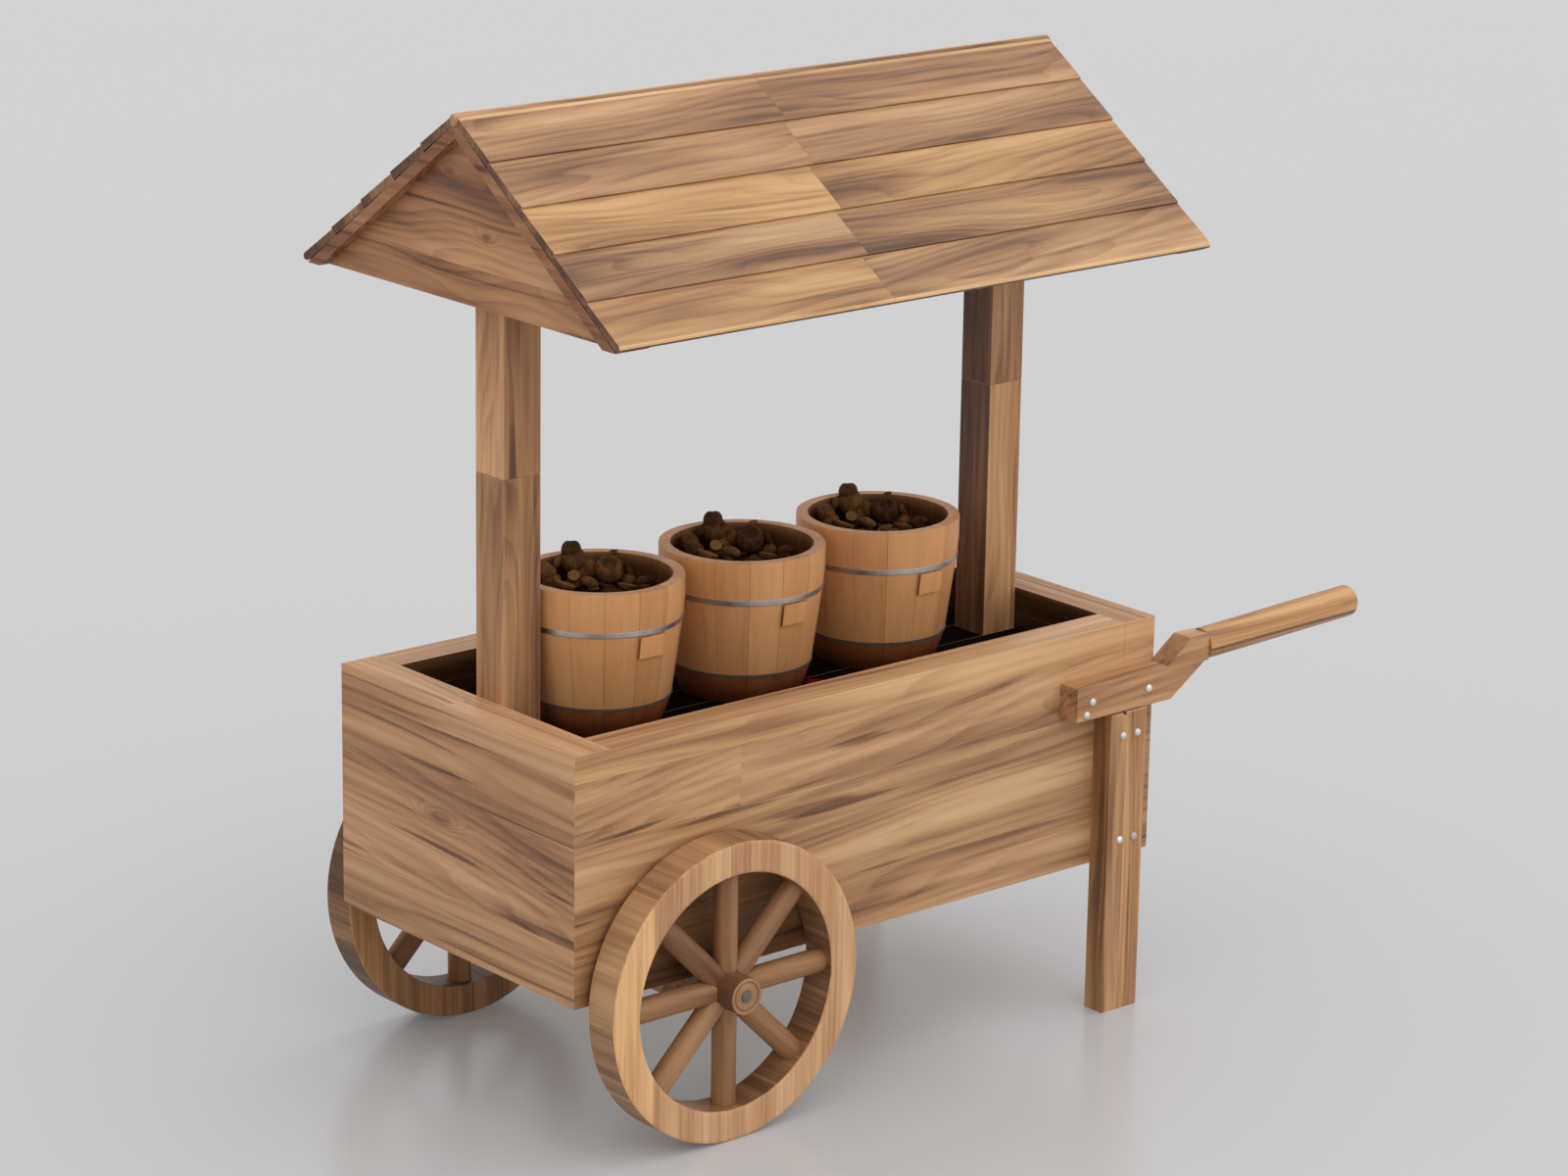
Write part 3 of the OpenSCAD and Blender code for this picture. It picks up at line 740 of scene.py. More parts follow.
# painted shade on the board ends below the arm's foot: where it stops, and how strong
tray["endFaceDusk"] = {"below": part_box("handle_arm")[0].z, "amount": 0.25}
longWall("near_long_wall", -1)
longWall("far_long_wall", 1)
endWall("wheel_end_wall", Vector((1, 0, 0)))
endWall("handle_end_wall", Vector((-1, 0, 0)))


deck = {"redPatch": (-0.186, -0.078), "notch": 0.002, "sideBoards": 3, "floorBoards": 7, "floorGap": 0.0006}


def unevenness(finish, place):
    return (finish.noise(place, 3.0, 0.6, 38.0) - 0.5) * 0.03


def deckRedPatch(finish, colour):
    # a red patch beside the middle barrel's foot
    place = finish.place()
    away = finish.distance(place, (*deck["redPatch"], deckTop))
    red = 1.0 - (away + unevenness(finish, place)).over(0.010, 0.026)
    return finish.mix(red * 0.8, colour, (0.24, 0.010, 0.006))


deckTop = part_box("display_deck")[1].z
# the deck is made near black: painted shade deep inside the tray
deckWood = woodFinish("darkDeckWood", {
    "light": 0.016, "extra": deckRedPatch,
    "stops": [(0.0, (0.60, 0.42, 0.32)), (0.5, (0.40, 0.27, 0.21)), (1.0, (0.20, 0.13, 0.10))]}, matt=True)
floorWood = woodFinish("plainFrameWood", {"light": 0.86})


def boardSource(name, length, width, thick):
    stock = Stock()
    stock.plank((0, 0, 0), (length, width, thick))
    return linked(name, stock.mesh(name, withTone=False))


def trayFloor():
    low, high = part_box("tray_floor")
    count, gap = deck["floorBoards"], deck["floorGap"]
    width = (high.y - low.y) / count
    source = boardSource("floorBoard", high.x - low.x, width - gap, high.z - low.z)
    grow("tray_floor_boards", rowOfCopies, source, {
        "Count": count, "Start": (low.x, low.y + gap / 2, low.z), "Step": (0.0, width, 0.0),
        "Seed": 3, "Material": floorWood}, "cart", "frame_wood", "tray_floor")


def displayDeck():
    low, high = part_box("display_deck")
    post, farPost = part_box("wheel_end_post_lower")[1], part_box("handle_end_post_lower")[0]
    notch, sideBoards = deck["notch"], deck["sideBoards"]
    half = post.y + notch
    stock = Stock()
    width = (high.y - half) / sideBoards
    for side in (-1, 1):
        for i in range(sideBoards):
            y0, y1 = sorted((side * (half + i * width), side * (half + (i + 1) * width)))
            stock.plank((low.x, y0, low.z), (high.x, y1, high.z))
    stock.plank((post.x + notch, -half, low.z), (farPost.x - notch, half, high.z))
    stock.piece("display_deck_boards", deckWood, "cart", "deck_lining", "display_deck")


trayFloor()
displayDeck()
for node in ("near_ledger", "far_ledger"):
    Stock().plank(*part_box(node), bevel=0.002).piece(node + "_strip", floorWood, "cart", "frame_wood", node)
say("tray boards are in")


wheel = {
    "segments": 160, "arris": 0.0035, "stripWidth": 0.061, "tread": 0.085,
    "spokes": 8, "spokeSides": 28, "hubRing": 0.76,
    "hubSideCut": (0.60, -0.1, 0.0), "hubGrooveShadeCut": (0.30, 0.0, 0.0),
    "rimDepth": 0.063, "faceMargin": 0.004, "hubRadius": 0.037, "bore": 0.01205,
    "stripShift": 0.35, "saddle": 0.0001,
    "groove": (0.0024, 0.0010),   # half its width, and its depth
    "treadCut": (0.44, 0.0, 0.0), "boreShadeCut": (0.60, 0.4, 0.0), "farShadeCut": (0.56, 0.8),
    # darker and more golden, strip by strip across the face towards the handle
    "strips": ((-0.24, 0.6), (-0.20, 0.5), (0.16, -0.7), (0.10, -0.5), (-0.04, 0.0), (0.10, -0.7),
               (0.14, -0.8), (-0.06, -0.1), (0.12, -0.7), (-0.06, -0.1), (-0.08, 0.1)),
}
wheelWood = woodFinish("oiledWheelWood", {
    "broad": (1.6, 30.0), "middle": (3.0, 80.0), "waver": 0.015, "level": 0.30, "light": 1.10,
    "fieldPart": 0.5, "broadPart": 0.8, "middlePart": 0.5, "darkPart": 0.10, "ringPart": 0.08,
    "rings": 90.0, "ringPull": 3.0})
# the spokes' wood is darkened to the shade they stand in beside the wall: painted shade
spokeWood = woodFinish("turnedSpokeWood", {
    "broad": (2.0, 24.0), "middle": (4.0, 80.0), "broadPart": 0.6, "darkPart": 0.1, "ringPart": 0.05,
    "tint": (0.66, 0.585, 0.52)})
hubWood = woodFinish("turnedHubWood", {
    "broad": (2.0, 9.0), "middle": (4.0, 26.0), "broadPart": 0.5, "middlePart": 0.3, "darkPart": 0.0,
    "ringPart": 0.0, "fibrePart": 0.08, "tint": (1.0, 0.98, 0.93)})


def stripAt(x):
    return math.floor((x - axleX) / wheel["stripWidth"] + wheel["stripShift"])


def aboutAxle(place):
    # the distance from the axle's line and the angle round it
    x, z = place.x - axleX, place.z - axleZ
    return math.hypot(x, z), math.atan2(z, x)


def lying(side):
    # turns a shape made along +Z to lie along Y at the axle, outwards on that side
    turn = Matrix.Rotation(math.radians(90 if side < 0 else -90), 4, "X")
    return Matrix.Translation((axleX, 0, axleZ)) @ turn


def wheelRim(name, side):
    low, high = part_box(name + "_rim")
    outer = (high.x - low.x) / 2
    inner = outer - wheel["rimDepth"]
    y0, y1 = sorted((abs(low.y), abs(high.y)))
    profile = ringProfile([(inner, y0), (outer, y0), (outer, y1), (inner, y1)], wheel["arris"])

    def grain(place, normal, centre):
        if abs(normal.y) > 0.75:
            return (place.z, place.x, place.y)
        angle = aboutAxle(centre)[1]
        radius, own = aboutAxle(place)
        own += math.tau * round((angle - own) / math.tau)
        return (place.y * 0.9 + 0.3 * math.floor(angle * 4.0), own * outer * 0.8, radius)

    def isBetweenFaces(middle):
        return y0 + wheel["faceMargin"] < abs(middle.y) < y1 - wheel["faceMargin"]

    def tone(middle, normal):
        strip = stripAt(middle.x)
        if isBetweenFaces(middle):
            strip = math.floor(aboutAxle(middle)[1] * outer / wheel["tread"]) + 40
        return random.Random(strip * 7 + side).random()

    def cut(middle, normal):
        # painted shade: the far wheel is darker and more golden, and the rim's bore darker
        darker, golden = wheel["farShadeCut"] if side > 0 else (0.0, 0.0)
        if isBetweenFaces(middle):
            own = wheel["boreShadeCut" if aboutAxle(middle)[0] < (inner + outer) / 2 else "treadCut"]
            return (own[0] + darker + (tone(middle, normal) - 0.5) * 0.30, own[1] + golden, own[2])
        strip = stripAt(middle.x)
        own = wheel["strips"][max(-5, min(5, strip)) + 5]
        # the lower part is of calmer boards
        share = 0.4 if abs(strip) < 4 and middle.z < axleZ else 1.0
        return (own[0] * share + darker, own[1] * share + golden, 0.0)

    solid, stock = bmesh.new(), Stock()
    lathe(solid, profile, wheel["segments"], closed=True)
    bmesh.ops.transform(solid, matrix=lying(side), verts=solid.verts)
    for strip in range(-5, 6):
        joint = axleX + (strip - wheel["stripShift"]) * wheel["stripWidth"]
        halved(solid, dist=1e-5, plane_co=(joint, 0, 0), plane_no=(1, 0, 0))
    stock.take(solid, grain=grain, tone=tone, cut=cut, smooth=True)
    stock.piece(name + "_felloe", wheelWood, name, "wheel_wood", name + "_rim")


def spokeSource(name, radius, hubRadius, rimInner):
    # a dowel from hub to rim along +Z: saddled at both ends, and mitred to its neighbours
    stock, solid = Stock(), bmesh.new()
    sides, half = wheel["spokeSides"], math.pi / wheel["spokes"]
    mitre = wheel["saddle"] / math.sin(half)

    def foot(x):
        return max(math.sqrt(hubRadius ** 2 - x * x), abs(x) / math.tan(half) + mitre)

    def head(x):
        return math.sqrt(rimInner ** 2 - x * x)

    def level(size, share):
        # a ring of the dowel, between its foot and its head
        turns = [math.tau * k / sides for k in range(sides if size else 1)]
        spots = [(math.cos(a) * radius * size, math.sin(a) * radius * size) for a in turns]
        return [solid.verts.new((x, y, foot(x) + (head(x) - foot(x)) * share)) for x, y in spots]

    loops = [(0.0, 0.0), (0.34, 0.0), (0.67, 0.0), (1.0, 0.0), (1.0, 0.08), (1.0, 0.35), (1.0, 0.65),
             (1.0, 0.96), (1.0, 1.0), (0.67, 1.0), (0.34, 1.0), (0.0, 1.0)]
    skin(solid, [level(size, share) for size, share in loops], sides)
    stock.take(solid, grain="z", smooth=True)
    return linked(name, stock.mesh(name, withTone=False))


def wheelSpokes(name, seed):
    low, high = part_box(name + "_spokes")
    rimLow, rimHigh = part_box(name + "_rim")
    inner = (rimHigh.x - rimLow.x) / 2 - wheel["rimDepth"]
    source = spokeSource(name + "_spokeSource", (high.y - low.y) / 2,
                         wheel["hubRadius"] + wheel["saddle"], inner - wheel["saddle"])
    grow(name + "_dowels", ringOfCopies, source, {
        "Count": wheel["spokes"], "Axis": (0.0, 1.0, 0.0), "Start turn": 0.0,
        "Centre": (axleX, (low.y + high.y) / 2, axleZ), "Seed": seed, "Material": spokeWood},
        name, "wheel_wood", name + "_spokes")


def wheelHub(name, side):
    low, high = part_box(name + "_hub")
    radius = (high.x - low.x) / 2
    y0, y1 = sorted((abs(low.y), abs(high.y)))
    bore, ring = wheel["bore"], radius * wheel["hubRing"]
    groove, depth = wheel["groove"]
    profile = [(bore, y0), (radius, y0), (radius, y1), (ring + groove, y1), (ring, y1 - depth),
               (ring - groove, y1), (bore, y1)]

    def cut(middle, normal):
        away = aboutAxle(middle)[0]
        # painted shade in the groove
        if abs(away - ring) < groove:
            return wheel["hubGrooveShadeCut"]
        return wheel["hubSideCut"] if away > radius * 0.96 else (0.0, 0.0, 0.0)

    made = Stock().turned(ringProfile(profile, 0.0012), 72, lying(side), True, grain="y", cut=cut)
    made.piece(name + "_turned_hub", hubWood, name, "wheel_wood", name + "_hub")


for name, side, seed in (("near_wheel", -1, 5), ("far_wheel", 1, 9)):
    wheelRim(name, side)
    wheelSpokes(name, seed)
    wheelHub(name, side)
say("wheels are in")


def steelFinish(name, colour, roughness, grime):
    # a tone of 1 is browned instead of bright
    finish = Finish(name, roughness=roughness)
    place = finish.place()
    spread = finish.noise(place, 4.0, 0.6, 60.0)
    fine = finish.noise(place, 2.0, 0.5, 900.0)
    dull = (spread * 0.7 + fine * 0.3).over(0.35, 0.75)
    tone = finish.attribute("tone", "Fac")
    colour = finish.mix(dull * 0.55, colour, grime)
    finish.give("Base Color", finish.mix(tone, colour, finish.times(colour, (0.17, 0.125, 0.09))))
    finish.give("Metallic", 1.0 - tone)
    finish.give("Roughness", roughness + dull * 0.18 + tone * 0.3)
    finish.bump(fine, 0.0001, 0.5)
    return finish.material


axleSteel = steelFinish("dullAxleSteel", (0.26, 0.22, 0.195), 0.60, (0.17, 0.14, 0.12))
hoopSteel = steelFinish("brightHoopSteel", (0.62, 0.63, 0.65), 0.30, (0.40, 0.40, 0.40))
boltSteel = steelFinish("brightBoltSteel", (0.90, 0.90, 0.90), 0.22, (0.62, 0.62, 0.62))


def steelAxle():
    low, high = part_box("axle")
    radius = (high.z - low.z) / 2
    profile = softened([(0, low.y), (radius, low.y), (radius, high.y), (0, high.y)], 0.0014)
    Stock().turned(profile, 40, lying(1), grain="y", tone=0.0).piece(
        "axle_rod", axleSteel, "cart", "axle_steel", "axle")


steelAxle()
dress("axle_beam", woodFinish("axleBeamWood", {"light": 0.8}, "y"))


leg = {
    "nearStrip": 0.043, "arris": 0.0016, "notch": (0.011, 0.007), "litAndRubbedTopCut": (-0.7, 0.0, 0.0),
    "cuts": {"side": (-0.04, 0.5, 0.0), "near": (0.0, -0.1, 0.004), "golden": (-0.10, 0.3, 0.0)},
}
legWood = woodFinish("oiledLegWood", {
    "broad": (1.5, 26.0), "dark": (1.4, 40.0), "tint": (0.98, 0.95, 0.92)})


def standingLeg(node, tones):
    low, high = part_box(node)
    split = low.x + leg["nearStrip"]

    def cut(middle, normal):
        if abs(normal.x) > 0.7:
            return leg["cuts"]["side"]
        # the wide strip's top is lighter: painted highlight on rubbed wood
        if normal.z > 0.3 and middle.x > split:
            return leg["litAndRubbedTopCut"]
        return leg["cuts"]["near" if middle.x < split else "golden"]

    # the inner top corner of the wide strip is broken off
    wide, tall = leg["notch"]
    outline = [(low.x, low.z), (split, low.z), (split, high.z - tall),
               (split - wide * 0.7, high.z - tall * 0.8), (split - wide, high.z), (low.x, high.z)]
    marks = {"cut": cut, "grain": "z"}
    stock = Stock()
    stock.prism(outline, low.y, high.y, "y", leg["arris"], tone=tones[0], **marks)
    stock.plank((split, low.y, low.z), high, bevel=leg["arris"], tone=tones[1], **marks)
    stock.piece(node + "_strips", legWood, "cart", "handle_wood", node)


standingLeg("near_leg", (0.37, 0.71))
standingLeg("far_leg", (0.52, 0.18))

arm = {
    "arris": 0.0013, "riseShadeCut": (0.22, 0.2, 0.0), "cut": (-0.09, -0.2, 0.0), "gripCut": (-0.06, 0.5, 0.0),
    # the arm's height, its end's height, the level lengths at the end's top and foot, and how far
    # the bend's top is inside the wall's end and its foot is past it
    "height": 0.072, "tip": 0.056, "crown": 0.053, "tipFlat": 0.012, "kneeBack": 0.010, "kneeLow": 0.002,
    "gripRadius": 0.033, "gripLength": 0.441, "gripTilt": math.radians(2.0), "gripNose": 0.009,
}
gripWood = woodFinish("oiledGripWood", {
    "field": (0.8, 16.0), "broad": (0.5, 44.0), "dark": (0.7, 70.0), "broadPart": 1.35, "darkPart": 0.55,
    "waver": 0.02, "tint": (0.92, 0.87, 0.80)})
armLow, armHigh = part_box("handle_arm")
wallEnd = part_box("handle_end_wall")[1].x


def crankedArm():
    low, high = armLow, armHigh
    top, tip = low.z + arm["height"], high.z - arm["tip"]
    outline = [
        (low.x, low.z), (wallEnd + arm["kneeLow"], low.z), (high.x - arm["tipFlat"], tip), (high.x, tip),
        (high.x, high.z), (high.x - arm["crown"], high.z), (wallEnd - arm["kneeBack"], top), (low.x, top)]

    def cut(middle, normal):
        # painted shade on the sloping top of the rise
        return arm["riseShadeCut"] if 0.3 < normal.z < 0.95 and middle.x > wallEnd - 0.02 else arm["cut"]

    made = Stock().prism(outline, low.y, high.y, "y", arm["arris"], grain="x", tone=0.44, cut=cut)
    made.piece("cranked_arm", legWood, "cart", "handle_wood", "handle_arm")


def roundGrip():
    low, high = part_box("handle_grip")
    radius, length, nose = arm["gripRadius"], arm["gripLength"], arm["gripNose"]
    tip = Vector((armHigh.x, (low.y + high.y) / 2, armHigh.z - arm["tip"] / 2))
    # it starts inside the arm, where the cut below closes it
    start = -0.01
    profile = [(0, start), (radius, start), (radius, length - nose)]
    profile += [(radius - nose + nose * math.cos(a), length - nose + nose * math.sin(a))
                for a in [math.pi / 2 * k / 6 for k in range(1, 7)]]
    profile += [(radius * 0.4, length), (0, length)]
    solid, stock = bmesh.new(), Stock()
    lathe(solid, profile, 56)
    laid = Matrix.Translation(tip) @ Matrix.Rotation(math.pi / 2 - arm["gripTilt"], 4, "Y")
    bmesh.ops.transform(solid, matrix=laid, verts=solid.verts)
    rim = halved(solid, plane_co=(tip.x, 0, 0), plane_no=(1, 0, 0), clear_inner=True)
    bmesh.ops.contextual_create(solid, geom=rim)
    bmesh.ops.recalc_face_normals(solid, faces=solid.faces)
    stock.take(solid, grain="x", tone=0.15, smooth=True, cut=arm["gripCut"])
    stock.piece("round_grip", gripWood, "cart", "handle_wood", "handle_grip")


crankedArm()
roundGrip()

bolt = {
    "headRadius": 0.0085, "rise": 0.006, "shank": 0.004, "length": 0.096,
    # on a leg: half the distance of a pair, how far its middle is off the leg's, the upper pair
    # below the leg's top and the lower pair above the walls' foot
    "half": 0.020, "off": 0.004, "below": 0.049, "above": 0.057,
    # on the arm: two from its end, one from the wall's end, each with its height
    "arm": ((0.041, 0.037), (0.025, 0.012)), "armLast": (-0.063, 0.036),
}


def boltKind():
    # a domed head on its shank along +Z, with the head's seat at the origin
    radius, rise, shank = bolt["headRadius"], bolt["rise"], bolt["shank"]
    dome = [(radius * math.cos(a), rise * math.sin(a)) for a in [math.pi / 2 * k / 7 for k in range(7)]]
    profile = [(0, -bolt["length"]), (shank, -bolt["length"]), (shank, 0.0), *dome, (0, rise)]
    stock = Stock()
    stock.turned(profile, 24, grain="z")
    collection = bpy.data.collections.new("boltKinds")
    collection.objects.link(bpy.data.objects.new("boltKind", stock.mesh("boltKind", withTone=False)))
    return collection


def spotsObject(name, spots):
    # spots: (place, kind, turn, size)
    mesh = bpy.data.meshes.new(name)
    mesh.from_pydata([s[0] for s in spots], [], [])
    mesh.attributes.new("kind", "INT", "POINT").data.foreach_set("value", [s[1] for s in spots])
    for key, i in (("turn", 2), ("size", 3)):
        mesh.attributes.new(key, "FLOAT_VECTOR", "POINT").data.foreach_set(
            "vector", [float(c) for s in spots for c in s[i]])
    return linked(name, mesh)


boltKinds = boltKind()
nearLegLow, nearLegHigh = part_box("near_leg")
boltX = (nearLegLow.x + nearLegHigh.x) / 2 + bolt["off"]
armBolts = [(armLow.x + x, armLow.z + z) for x, z in bolt["arm"]]
armBolts.append((wallEnd + bolt["armLast"][0], armLow.z + bolt["armLast"][1]))
legBolts = [(boltX + side * bolt["half"], z)
            for z in (nearLegHigh.z - bolt["below"], footZ + bolt["above"]) for side in (-1, 1)]
for node, places, side in (("near_leg_bolts", legBolts, -1), ("far_leg_bolts", legBolts, 1),
                           ("handle_bolts", armBolts, -1)):
    faceY = nearLegLow.y if side < 0 else -nearLegLow.y
    spots = spotsObject(node + "_spots", [
        ((x, faceY, z), 0, (math.radians(-90 * side), 0.0, 0.0), (1.0, 1.0, 1.0)) for x, z in places])
    grow(node + "_domed", copiesOnSpots, spots, {
        "Kinds": boltKinds, "Seed": 1, "Material": boltSteel}, "cart", "bolt_steel", node)
say("legs, arm, grip and bolts are in")


postWood = woodFinish("oiledPostWood", {
    "field": (1.6, 10.0), "broad": (1.3, 22.0), "dark": (1.3, 34.0), "level": 0.46, "fieldPart": 1.0,
    "rings": 40.0, "ringPull": 9.0, "ringPart": 0.15, "tint": (0.91, 0.86, 0.81)})
post = {
    "arris": 0.002, "tones": {"wheel_end_post_lower": 0.63, "wheel_end_post_upper": 0.22,
                              "handle_end_post_lower": 0.47, "handle_end_post_upper": 0.91},
    # the cut of the faces towards the wheel end and of the others; the handle-end posts' faces towards the
    # wheel end, under the roof, are darkened as painted shade
    "cuts": {"wheel_end_post_lower": ((0.08, -0.3, 0.0), (0.10, -0.3, 0.0)),
             "wheel_end_post_upper": ((-0.38, -0.5, 0.0), (-0.02, -0.5, 0.0)),
             "handle_end_post_lower": ((0.70, -0.2, 0.0), (-0.24, 0.2, 0.0)),
             "handle_end_post_upper": ((0.74, -0.4, 0.0), (0.14, -0.3, 0.0))},
}
roof = {
    "pitch": math.radians(35.8), "thick": 0.016, "lap": 0.004, "boards": 5,
    "butts": (-0.310, -0.320, -0.335, -0.350, -0.365), "farShift": 0.21,
    "arris": 0.0012, "noseArris": 0.0009, "joint": 0.0002,
    "roll": 0.012, "rollProud": 0.004, "rollSunk": 0.0015,
    "panelJoint": 0.072, "rakeHeight": 0.022,
    # from the ridge down, the length at the wheel end and the one at the handle end
    "cuts": (((0.14, -0.5, 0.02), (0.16, -0.5, 0.01)), ((0.02, -0.3, 0.03), (0.06, -0.2, 0.02)),
             ((-0.10, 0.7, -0.02), (-0.02, 0.6, 0.06)), ((0.14, -0.1, 0.02), (0.10, 0.3, 0.0)),
             ((-0.14, 0.4, 0.0), (-0.08, 0.0, 0.05))),
    "ridgeStrip": 0.010, "ridgeHighlightCut": (-0.35, 0.2, 0.0), "endCut": (0.60, -0.6, 0.0),
    "noseHighlightCut": (-0.80, 0.3, 0.0), "underShadeCut": (0.80, -0.6, 0.0),
}
roofWood = woodFinish("oiledRoofWood", {
    "field": (1.3, 9.0), "broad": (1.5, 22.0), "middle": (2.0, 70.0), "dark": (1.4, 48.0),
    "waver": 0.06, "level": 0.47, "fieldPart": 1.45, "broadPart": 0.70, "middlePart": 0.45,
    "darkPart": 0.22, "rings": 38.0, "ringPull": 9.0, "ringPart": 0.17, "tint": (0.88, 0.88, 0.85)})
gable = {
    # the dark streak: its height where y is 0, its slope, how far it strays, its edges and its ends
    "streak": {"height": 1.8028, "slope": 0.143, "stray": 0.028, "edge": (0.004, 0.024),
               "middle": -0.03, "reach": (0.14, 0.30), "colour": (0.125, 0.066, 0.045)},
    "knots": ((-0.062, 1.728), (0.051, 1.837)), "knotFades": ((30.0, 20.0, 44.0), (30.0, 32.0, 70.0)),
}
gableLow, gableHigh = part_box("wheel_end_gable")


def gableMarks(finish, colour):
    # one long dark streak across the panel
    look = gable["streak"]
    x, y, z = finish.split(finish.place())
    drift = finish.noise(finish.join(x, y * 4.0, z * 30.0), 2.0) - 0.5
    off = (z - y * look["slope"] - look["height"] + drift * look["stray"]).size()
    ends = (y - look["middle"]).size().over(*look["reach"])
    streak = (1.0 - off.over(*look["edge"])) * (1.0 - ends)
    return finish.mix(streak * 0.55, colour, look["colour"])


gableWood = woodFinish("oiledGableWood", {
    "field": (1.8, 9.0), "broad": (1.6, 18.0), "middle": (2.2, 50.0), "waver": 0.06,
    "level": 0.44, "fieldPart": 1.1, "broadPart": 1.0, "rings": 36.0, "ringPull": 9.0, "ringPart": 0.18,
    "tint": (0.88, 0.755, 0.70), "extra": gableMarks, "eyeRings": 1.6,
    "eyes": [((gableLow.x, *knot), fade) for knot, fade in zip(gable["knots"], gable["knotFades"])]})
rakeWood = woodFinish("oiledRakeWood", {"tint": (0.64, 0.49, 0.43)})
roofLow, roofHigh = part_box("near_roof_board_1")
roofTop = gableHigh.z
slopeX0, slopeX1 = roofLow.x, roofHigh.x
bothSides = (("near", -1), ("far", 1))


def postPieces():
    for node, tone in post["tones"].items():
        low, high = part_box(node)
        ends, sides = post["cuts"][node]
        drop = (high.y - low.y) / 2 * math.tan(roof["pitch"]) if node.endswith("upper") else 0.0
        outline = [(low.y, low.z), (high.y, low.z), (high.y, high.z - drop), (low.y, high.z - drop)]
        if drop:
            outline.insert(3, (0, high.z))
        made = Stock().prism(outline, low.x, high.x, "x", post["arris"], grain="z", tone=tone,
                             cut=lambda middle, normal: ends if abs(normal.x) > 0.7 else sides)
        made.piece(node + "_timber", postWood, "cart", "post_wood", node)


def slopeWays(side):
    # down the slope, and straight out of it
    pitch = roof["pitch"]
    down = Vector((0, side * math.cos(pitch), -math.sin(pitch)))
    return down, Vector((0, side * math.sin(pitch), math.cos(pitch)))


def slopePoint(side, u, v):
    pitch = roof["pitch"]
    across = side * (u * math.cos(pitch) + v * math.sin(pitch))
    return across, roofTop - u * math.sin(pitch) + v * math.cos(pitch)


def ridgeRoll():
    # a thin roll under the ridge, whose rounded ends show at both gables
    radius, proud = roof["roll"], roof["rollProud"]
    x0, x1 = slopeX0 - proud, slopeX1 + proud
    height = roofTop + roof["thick"] / math.cos(roof["pitch"]) - radius - roof["rollSunk"]
    laid = Matrix.Translation((0, 0, height)) @ Matrix.Rotation(math.pi / 2, 4, "Y")
    profile = softened([(0, x0), (radius, x0), (radius, x1), (0, x1)], 0.003)
    Stock().turned(profile, 32, laid, grain="x", tone=0.3).piece("ridge_roll", roofWood, "cart", "roof_wood")


def boardOutline(side, index, width):
    # a board lies on the next one down; the first is mitred at the ridge, the last is rounded over
    thick, lap = roof["thick"], roof["lap"]
    first, last = index == 0, index == roof["boards"] - 1
    u0, u1 = index * width + (0.0 if first else roof["joint"]), (index + 1) * width
    places = [(u0, 0)]
    if last:
        middle, reach = lap + thick / 2, thick / 2
        turns = [-math.pi / 2 + math.pi * k / 8 for k in range(1, 8)]
        places.append((u1 - reach, lap * 0.93))
        places += [(u1 - reach + reach * math.cos(a), middle + reach * math.sin(a)) for a in turns]
        places.append((u1 - reach, thick + lap))
    else:
        places += [(u1, lap), (u1, thick + lap)]
    if first:
        places.append((roof["ridgeStrip"], thick + lap * roof["ridgeStrip"] / u1))
    places.append((u0 - (thick * math.tan(roof["pitch"]) if first else 0.0), thick))
    return [slopePoint(side, u, v) for u, v in places]


def roofBoards():
    pitch, last = roof["pitch"], roof["boards"] - 1
    eaveY = -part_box(f"near_roof_board_{last + 1}")[0].y
    width = (eaveY - (roof["thick"] + roof["lap"]) * math.sin(pitch)) / math.cos(pitch) / roof["boards"]
    draw = random.Random(12)
    for label, side in bothSides:
        down, out = slopeWays(side)
        stripDown = roofTop * down.z + roof["ridgeStrip"] * 0.9

        def grain(place, normal, middle):
            return (place.x, place.dot(down), place.dot(out))

        def ownCut(middle, normal, cut, index):
            # painted highlight on the upper half of the eave's rounded nose and along the ridge strip,
            # painted shade under the eave
            if abs(normal.x) > 0.7:
                return roof["endCut"]
            if normal.dot(out) < -0.3:
                return roof["underShadeCut"] if index == last else cut
            if normal.dot(down) > 0.30 and index == last:
                return roof["noseHighlightCut"] if normal.dot(out) > 0.30 else roof["underShadeCut"]
            return roof["ridgeHighlightCut"] if index == 0 and middle.dot(down) < stripDown else cut

        for i in range(roof["boards"]):
            node = f"{label}_roof_board_{i + 1}"
            outline = boardOutline(side, i, width)
            butt = roof["butts"][i] + (roof["farShift"] if side > 0 else 0.0)
            stock = Stock()
            for (x0, x1), cut in zip(((slopeX0, butt), (butt, slopeX1)), roof["cuts"][i]):
                stock.prism(outline, x0, x1, "x", roof["noseArris" if i == last else "arris"],
                            tone=draw.random(), grain=grain, cut=partial(ownCut, cut=cut, index=i))
            stock.piece(node + "_lengths", roofWood, "cart", "roof_wood", node)


def gables():
    for node, tone in (("wheel_end_gable", 0.29), ("handle_end_gable", 0.74)):
        low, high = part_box(node)
        tan, joint = math.tan(roof["pitch"]), low.z + roof["panelJoint"]
        foot, half = (high.z - low.z) / tan, (high.z - joint) / tan
        stock = Stock()
        lower = [(-foot, low.z), (foot, low.z), (half, joint), (-half, joint)]
        upper = [(-half, joint), (half, joint), (0, high.z)]
        for outline, own in ((lower, tone), (upper, tone + 0.17)):
            stock.prism(outline, low.x, high.x, "x", 0.0006, grain="y", tone=own)
        stock.piece(node + "_panel", gableWood, "cart", "gable_wood", node)


